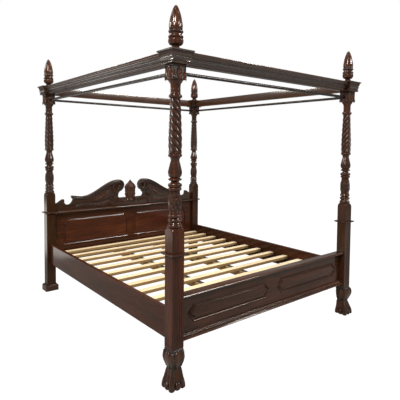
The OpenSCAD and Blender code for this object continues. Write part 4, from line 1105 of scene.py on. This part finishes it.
# %% [markdown]
# Raised panels are the joiner's ornament: a planted bead, a sunk border, a steep moulded lip and
# a field that stands proud. The outline is a formula with an inset, so the same outline drawn
# again at a growing inset and a changing depth gives the whole moulded surface. On the headboard
# two of the slopes lean back just enough to mirror the side lamp as thin bright lines.

# %% Panels
def panel(outline, steps, centre, face_y):
    """Moulded panel: each step is [inset, depth behind the frame's face], from the back to the
    middle, and outline(inset) draws the closed outline in X and Z."""
    rows = [outline(inset) for inset, _ in steps]
    depth = np.array([d for _, d in steps])[:, None] + np.zeros(len(rows[0]))
    xz = np.array(rows)
    points = np.stack([centre[0] + xz[..., 0], face_y + depth, centre[1] + xz[..., 1]], -1)
    # Painted shade with dirt in the inside corners of the panel's steps, lighter outside corners.
    hollow = corner_shade_and_wear(np.array(steps, float))
    hollow[-1] = 0
    return skin(points, "flat", hollow[:, None])


def pointed_outline(length, height, point, n=12):
    """Footboard panel outline: straight top and bottom, and ends that swell to a point as half a
    cosine wave."""
    def outline(inset):
        a, b = length / 2 - point - inset, height / 2 - inset
        t = np.linspace(0, 1, n)
        swell = point * (0.5 - 0.5 * np.cos(np.pi * t)) * 0.9 + point * 0.1 * (t > 0.999)
        rise = np.stack([a + swell, -b * (1 - t)], 1)
        fall = np.stack([a + swell, b * (1 - t)], 1)[::-1][1:]
        left = np.vstack([rise, fall])
        return np.vstack([left, -left])
    return outline


def shouldered_outline(length, height, w, s, n=13):
    """Headboard panel outline: square below, with ogee shoulders w wide and s high cut from its top
    corners."""
    def outline(inset):
        a, b = length / 2 - inset, height - inset
        t = np.linspace(0, 1, n)
        shoulder = np.stack([a - w * (0.5 - 0.5 * np.cos(np.pi * t)), b - s + s * 0.75 * t], 1)
        right_side = np.vstack([[[a, inset]], shoulder, [[a - w, b]]])
        return np.vstack([right_side, right_side[::-1] * [-1, 1]])
    return outline


RAISED_FOOT = [
    [12, 9], [0.3, 9], [0.3, -1.0], [1.4, -3.6], [3.4, -4.8], [5.6, -4.8], [7.6, -3.4], [9.0, -0.6],
    [9.6, 2.0], [10.4, 3.0], [12.5, 3.2], [13.6, 3.2], [14.4, 2.6], [19.6, -3.6], [20.4, -4.2],
    [22.6, -4.4], [24.4, -3.6], [26.0, -3.6], [28.0, -4.8], [31, -5.0]]
RAISED_HEAD = [
    [12, 9], [0.3, 9], [0.3, -2.0], [1.0, -4.6], [1.6, -4.8], [2.0, -4.64], [6.0, -2.98], [6.6, 1.6],
    [7.2, 3.2], [8.0, 3.4], [8.4, 3.26], [15.4, 0.82], [16.0, 0.6], [19.0, -0.2], [20.0, -3.6],
    [22.0, -4.8], [31, -5.0]]
FOOT_PANEL_X, FOOT_PANEL_Z, FOOT_PANEL_W, FOOT_PANEL_H, POINT = 391, 391, 706, 108, 40
HEAD_PANEL_X, HEAD_PANEL_Z, HEAD_PANEL_W, HEAD_PANEL_H, SHOULDER_W, SHOULDER_H = 377, 413, 678, 247, 28, 66
pointed = pointed_outline(FOOT_PANEL_W, FOOT_PANEL_H, POINT)
shouldered = shouldered_outline(HEAD_PANEL_W, HEAD_PANEL_H, SHOULDER_W, SHOULDER_H)
for name, s in (("left", -1), ("right", 1)):
    foot_panel = panel(pointed, RAISED_FOOT, (s * FOOT_PANEL_X, FOOT_PANEL_Z), foot_face_y)
    piece(f"footboard_panel_{name}_raised", [foot_panel], FOOTBOARD, [f"footboard_panel_{name}"])
    head_panel = panel(shouldered, RAISED_HEAD, (s * HEAD_PANEL_X, HEAD_PANEL_Z), head_face_y)
    piece(f"headboard_panel_{name}_raised", [head_panel], PANEL, [f"headboard_panel_{name}"], crease=18)
eased("footboard_frame", "footboard_frame_planed", FOOTBOARD, 1.0)
eased("headboard_frame", "headboard_frame_planed", HEADBOARD, 1.0)

# %% [markdown]
# Three more straight mouldings finish the boards: the footboard's heavy cap and base, and the
# shelf that carries the pediment. Their noses catch the lamp as one long bright line.

# %% Cap, base and shelf
foot_top = box("footboard_cap")[1][2]
low = foot_top - 25  # underside of the cap
cap_section = np.vstack([
    [[-27, low], [11, low]],
    arc([12, low + 1], [16, low + 6], 0.2),
    [[18, low + 7], [26, low + 9]],
    arc([27, low + 10], [31, low + 12], 0.2),
    [[33, low + 12.5], [35.2, low + 13], [35.5, foot_top - 7.5]],
    arc([35.2, foot_top - 7], [30, foot_top - 0.8], -0.06, 4),
    [[28.5, foot_top], [-27, foot_top]]])
base_section = np.vstack([
    [[0, rail_z], [34, rail_z], [35.5, rail_z + 1], [35.5, rail_z + 3.5]],
    arc([35.2, rail_z + 4], [29.8, rail_z + 10.5], -0.06, 4),
    [[28.4, rail_z + 11], [28, rail_z + 13]],
    arc([26, rail_z + 14], [14, rail_z + 23], 0.22, 7),
    [[12, rail_z + 24], [11, rail_z + 28], [0, rail_z + 28]]])

shelf_low, shelf_high = box("headboard_shelf")
reach = head_face_y - shelf_low[1]
back = head_face_y - shelf_high[1]
s0 = shelf_low[2]
shelf_section = np.vstack([
    [[back, s0], [3, s0]],
    arc([4, s0 + 1], [8, s0 + 6], 0.2),
    [[10, s0 + 6.5], [14, s0 + 7]],
    arc([15, s0 + 8], [reach - 9, s0 + 13], 0.2, 6),
    [[reach - 7, s0 + 14], [reach - 2, s0 + 15]],
    arc([reach - 0.3, s0 + 16], [reach - 4.2, shelf_top - 1.5], -0.05, 4),
    [[reach - 6, shelf_top], [back, shelf_top]]])
for node, section, half_length, face_y in (
        ("footboard_cap", cap_section, inner_x, foot_face_y),
        ("footboard_base", base_section, inner_x, foot_face_y),
        ("headboard_shelf", shelf_section, shelf_high[0], head_face_y)):
    strip = moved(moulding(section, -half_length, half_length, X), shift=(0, face_y, 0))
    piece(f"{node}_moulded", [strip], MOULDING, [node])

# %% [markdown]
# The pediment has two swan necks: bands of moulding that rise in an S from the outer ends and
# roll up into scrolls. A band is a section carried along a path, like icing from a shaped
# nozzle. The path follows the CAD's top edge and then winds inwards as a spiral, while the
# section narrows and comes forward, so that the eye of the scroll stands proud.

# %% Swan necks
board_y = head_face_y + 3
SCROLL_X, SCROLL_Z, SCROLL_R = 150, 209, 67  # middle of the scroll, above the shelf, and its radius
TIP_X, SLOPE_X = 645, 545  # outer end of a neck, and where it starts to rise
NECK_LOW, SCROLL_TOP = 128, SCROLL_Z + SCROLL_R


def neck_top(x):
    """Height of the neck's top edge above the shelf: nearly level outside, then half a cosine wave
    up to the top of the scroll."""
    t = (SLOPE_X - x) / (SLOPE_X - SCROLL_X)
    wave = NECK_LOW + (SCROLL_TOP - NECK_LOW) * (1 - np.cos(np.pi * t)) / 2
    return np.where(x > SLOPE_X, NECK_LOW + (x - SLOPE_X) * 0.15, wave)


NECK_SECTION = np.array([  # share of the band's width from its outer edge, and share of its depth
    [0.0, 0.0], [0.0, 0.86], [0.03, 0.95], [0.08, 1.0], [0.20, 1.0], [0.26, 0.95], [0.29, 0.82],
    [0.36, 0.74], [0.46, 0.76], [0.54, 0.86], [0.62, 0.84], [0.66, 0.70], [0.70, 0.60],
    [0.80, 0.58], [0.86, 0.62], [0.94, 0.60], [0.98, 0.50], [1.0, 0.35], [1.0, 0.0]])


def swan_neck():
    """Band from the outer tip to the scroll's eye. Rows carry a place, the direction to the band's
    inside, a width and a depth; columns are the section's points."""
    x = np.linspace(TIP_X, SCROLL_X, 70)
    run = np.stack([x, neck_top(x)], 1)
    turn = np.linspace(0, 1, 110)[1:]
    angle = np.pi / 2 + turn * np.pi * 3.2
    radius = SCROLL_R - (SCROLL_R - 13) * np.clip((turn - 0.10) / 0.9, 0, 1) ** 0.85
    coil = np.stack([SCROLL_X + radius * np.cos(angle), SCROLL_Z + radius * np.sin(angle)], 1)
    path = np.vstack([run, coil])
    slope = np.gradient(path, axis=0)
    inside = np.stack([-slope[:, 1], slope[:, 0]], 1)
    inside /= np.hypot(*inside.T)[:, None]
    share = np.linspace(0, 1, len(run))
    inside[:len(run)] = inside[:len(run)] * share[:, None] + np.array([0, -1.0]) * (1 - share[:, None])
    width = np.concatenate([28 + 10 * share, 38 - 27 * turn ** 0.8])
    depth = np.concatenate([24 + 5.5 * share, 29.5 + 4 * turn])
    across, proud = NECK_SECTION.T
    at = path[:, None] + inside[:, None] * (across * width[:, None])[..., None]
    out = proud * depth[:, None]
    # Painted shade on the lower steps of the band's section.
    hollow = np.clip((0.9 - proud) * 1.6, 0, 0.8) * (proud > 0.3)
    points = np.stack([at[..., 0], board_y - out, shelf_top + at[..., 1]], -1)
    return skin(points, "flat", np.broadcast_to(hollow, at.shape[:2]))


def scroll_boss():
    """Backing disc and eye of a scroll, turned about an axis that looks towards -Y."""
    profile = stack([SCROLL_R - 3, 0], [SCROLL_R - 3, 9], [SCROLL_R - 12, 13], [30, 15],
                    [15, 17], [15, 33], [13.5, 37], quarter(37, 42, 11, 2, 5), [1.0, 42])
    xyz, faces, depth = lathe(profile, 6, 64)
    turned_xyz = np.stack([xyz[:, 0] + SCROLL_X, board_y - xyz[:, 2], xyz[:, 1] + SCROLL_Z + shelf_top], -1)
    return turned_xyz, outward(turned_xyz, faces), depth


for name, s in (("left", -1), ("right", 1)):
    shapes = [moved(shape, (s, 1, 1)) for shape in (swan_neck(), scroll_boss())]
    piece(f"swan_neck_{name}_moulded", shapes, PEDIMENT, [f"swan_neck_{name}"], crease=40)
eased("pediment_board", "pediment_board_sawn", PEDIMENT, 1.5)

# %% [markdown]
# Under each scroll the board is carved with foliage: a stem that runs in from the outer end and
# winds into a rosette, with leaves that spring from it on both sides. Each leaf is a little
# domed sheet along a bent centre line, nicked at its rim like the leaves on the posts.

# %% Foliage
def spray(start, angle, length, bend, width, height):
    """One carved leaf on the board: its centre line turns by bend from angle over its length; its
    half width is a sine arch with nicked lobes, and its height a dome with a sunk middle vein."""
    t = np.linspace(0, 1, 26)[:, None]
    u = np.linspace(-1, 1, 11)[None]
    heading = angle + bend * t[:, 0]
    step = length / (len(t) - 1)
    line = np.cumsum(np.stack([np.cos(heading), np.sin(heading)], 1) * step, 0) + np.array(start)
    side_way = np.stack([-np.sin(heading), np.cos(heading)], 1)
    lobes = 0.80 + 0.20 * np.cos(6 * np.pi * t)
    rim = width * np.sin(np.pi * np.clip(t * 0.94 + 0.05, 0, 1) ** 0.8) ** 0.7 * lobes
    crown = np.sqrt(np.clip(1 - u * u, 0, 1)) * 0.85 + 0.15
    domed = height * crown * np.sin(np.pi * (0.1 + 0.85 * t)) ** 0.5
    side_veins = 0.10 * np.cos(6 * np.pi * (t - 0.3 * np.abs(u))) * np.abs(u)
    veins = height * (0.30 * np.exp(-(u / 0.16) ** 2) + side_veins)
    at = line[:, None] + side_way[:, None] * (u * rim)[..., None]
    front = np.stack([at[..., 0], board_y - np.maximum(domed - veins, 0.4), shelf_top + at[..., 1]], -1)
    rear = front.copy()
    rear[..., 1] = board_y + 1.5
    # Painted shade in the sunk veins, along the rim and on the back; a lighter leaf face, rubbed wear with a
    # painted highlight.
    depth = np.clip(veins / height * 4.0 - 0.9, -0.9, 1) + 1.5 * (np.abs(u) > 0.85)
    hollow = np.concatenate([depth, np.ones_like(depth)], 1)
    return skin(np.concatenate([front, rear[:, ::-1]], 1), "strip", np.clip(hollow, -1, 1))


def stem(path, thick, rise=1.1, depth=0.0):
    """Round stem along points in X and Z, half sunk in the board and thinner towards its ends. rise
    is its height as a share of its half width and depth its hollow value; a wide, very low one with
    depth 1 is a dark sheet of painted shadow on the board behind the leaves."""
    t = np.linspace(0, 1, len(path))[:, None]
    a = np.linspace(0, 2 * np.pi, 10, endpoint=False)[None]
    slope = np.gradient(path, axis=0)
    side_way = np.stack([-slope[:, 1], slope[:, 0]], 1) / np.hypot(*slope.T)[:, None]
    radius = thick * (0.35 + 0.65 * np.sin(np.pi * (0.06 + 0.88 * t)) ** 0.6)
    at = path[:, None] + side_way[:, None] * (radius * np.cos(a))[..., None]
    points = np.stack([at[..., 0], board_y - radius * np.sin(a) * rise, shelf_top + at[..., 1]], -1)
    return skin(points, "pole", np.full(points.shape[:2], depth))


def foliage():
    """Stem and leaves for the right half of the pediment."""
    t = np.linspace(0, 1, 60)
    tail = np.stack([600 - 422 * t, 34 + 13 * t ** 2 + 7 * np.sin(3 * np.pi * t)], 1)
    turn = np.linspace(0, 1, 70)[1:]
    wind = np.radians(-115) + turn * np.radians(560)
    size = 60 - 44 * turn ** 0.9
    centre = np.array([205.0, 104.0])
    coil = centre + np.stack([size * np.cos(wind), size * np.sin(wind)], 1)
    # The two wide, very low stems with depth 1 are dark sheets of painted shadow behind the leaves.
    shapes = [stem(tail, 5.5), stem(coil, 6.5), stem(tail, 20, 0.05, 1.0), stem(coil, 26, 0.03, 1.0)]
    for k in range(16):
        place = tail[3 + 3 * k]
        grow = 0.55 + 0.45 * k / 15
        sign = 1 if k % 2 == 0 else -1
        shapes.append(spray(place, np.pi - sign * 0.8, 50 * grow, sign * 1.2, 11 * grow, 9.0))
    for k in range(12):
        place = coil[2 + 5 * k]
        heading = wind[2 + 5 * k] + 0.75
        shapes.append(spray(place, heading, 46 - 2.4 * k, -1.0, 12 - 0.5 * k, 17 - 0.3 * k))
    for k in range(6):
        shapes.append(spray(centre, k * np.pi / 3, 19, 0.5, 6.5, 19))
    for k in range(6):
        shapes.append(spray((78 + 17 * k, 30 + 4 * k), 2.5 - 0.35 * k, 36, 0.9, 9, 14))
    for k in range(7):
        shapes.append(spray((272 + 24 * k, 128 - 9 * k), 2.4 + 0.15 * k, 44, -0.8, 10, 12))
    return shapes


leaves_right = foliage()
for name, s in (("left", -1), ("right", 1)):
    piece(f"pediment_foliage_{name}", [moved(shape, (s, 1, 1)) for shape in leaves_right], PEDIMENT, [])
print("leaves and stems on each half:", len(leaves_right))

# %% [markdown]
# The middle finial is a flattened pineapple between leaves: an oval turning whose relief is two
# families of spiral grooves crossing each other, which leaves rows of little diamond scales.

# %% Pineapple
acorn_low, acorn_high = box("pediment_acorn")
ACORN_W, ACORN_D, ACORN_H = acorn_high - acorn_low
ACORN_T = [0, 0.06, 0.12, 0.18, 0.26, 0.33, 0.38, 0.5, 0.6, 0.67, 0.735, 0.8, 0.865, 0.93, 1]
ACORN_HALF = [0.36, 0.40, 0.34, 0.36, 0.42, 0.47, 0.45, 0.455, 0.475, 0.5, 0.44, 0.35, 0.22, 0.11, 0.02]


def pineapple():
    """Oval turning: half width interpolated between a few shares of its size, scales from two
    crossing sine waves, and upright leaves round its lower part."""
    t = np.linspace(0, 1, 110)[:, None]
    a = np.linspace(0, 2 * np.pi, 96, endpoint=False)[None]
    half = np.interp(t, ACORN_T, ACORN_HALF)
    fruit = between(t, 0.36, 0.985, 0.03)
    one = np.abs(np.sin(5 * a + 20 * t))
    two = np.abs(np.sin(5 * a - 20 * t))
    scales = np.minimum(one, two) ** 0.7
    base = between(t, 0.12, 0.37, 0.03)
    leaves = leaf_tier(a, t, 0.12, 0.40, 8, 0.0, 1.0, 0.8)
    out = -0.13 * (1 - scales) * fruit - 0.10 * (1 - np.clip(leaves, 0, 1)) * base
    # Painted shade in the grooves between the scales and between the leaves; lighter scale and leaf tops,
    # rubbed wear with a painted highlight.
    hollow = (1 - scales * 2.0) * fruit + (1 - leaves * 1.6) * base
    share = half * (1 + out)
    xyz = np.broadcast_arrays(share * ACORN_W * np.cos(a), share * ACORN_D * np.sin(a), ACORN_H * t)
    return skin(np.stack(xyz, -1), "pole", np.clip(hollow, -0.7, 1))


middle = (0, (acorn_low[1] + acorn_high[1]) / 2, acorn_low[2])
piece("pediment_pineapple", [moved(pineapple(), shift=middle)], TURNING, ["pediment_acorn"])
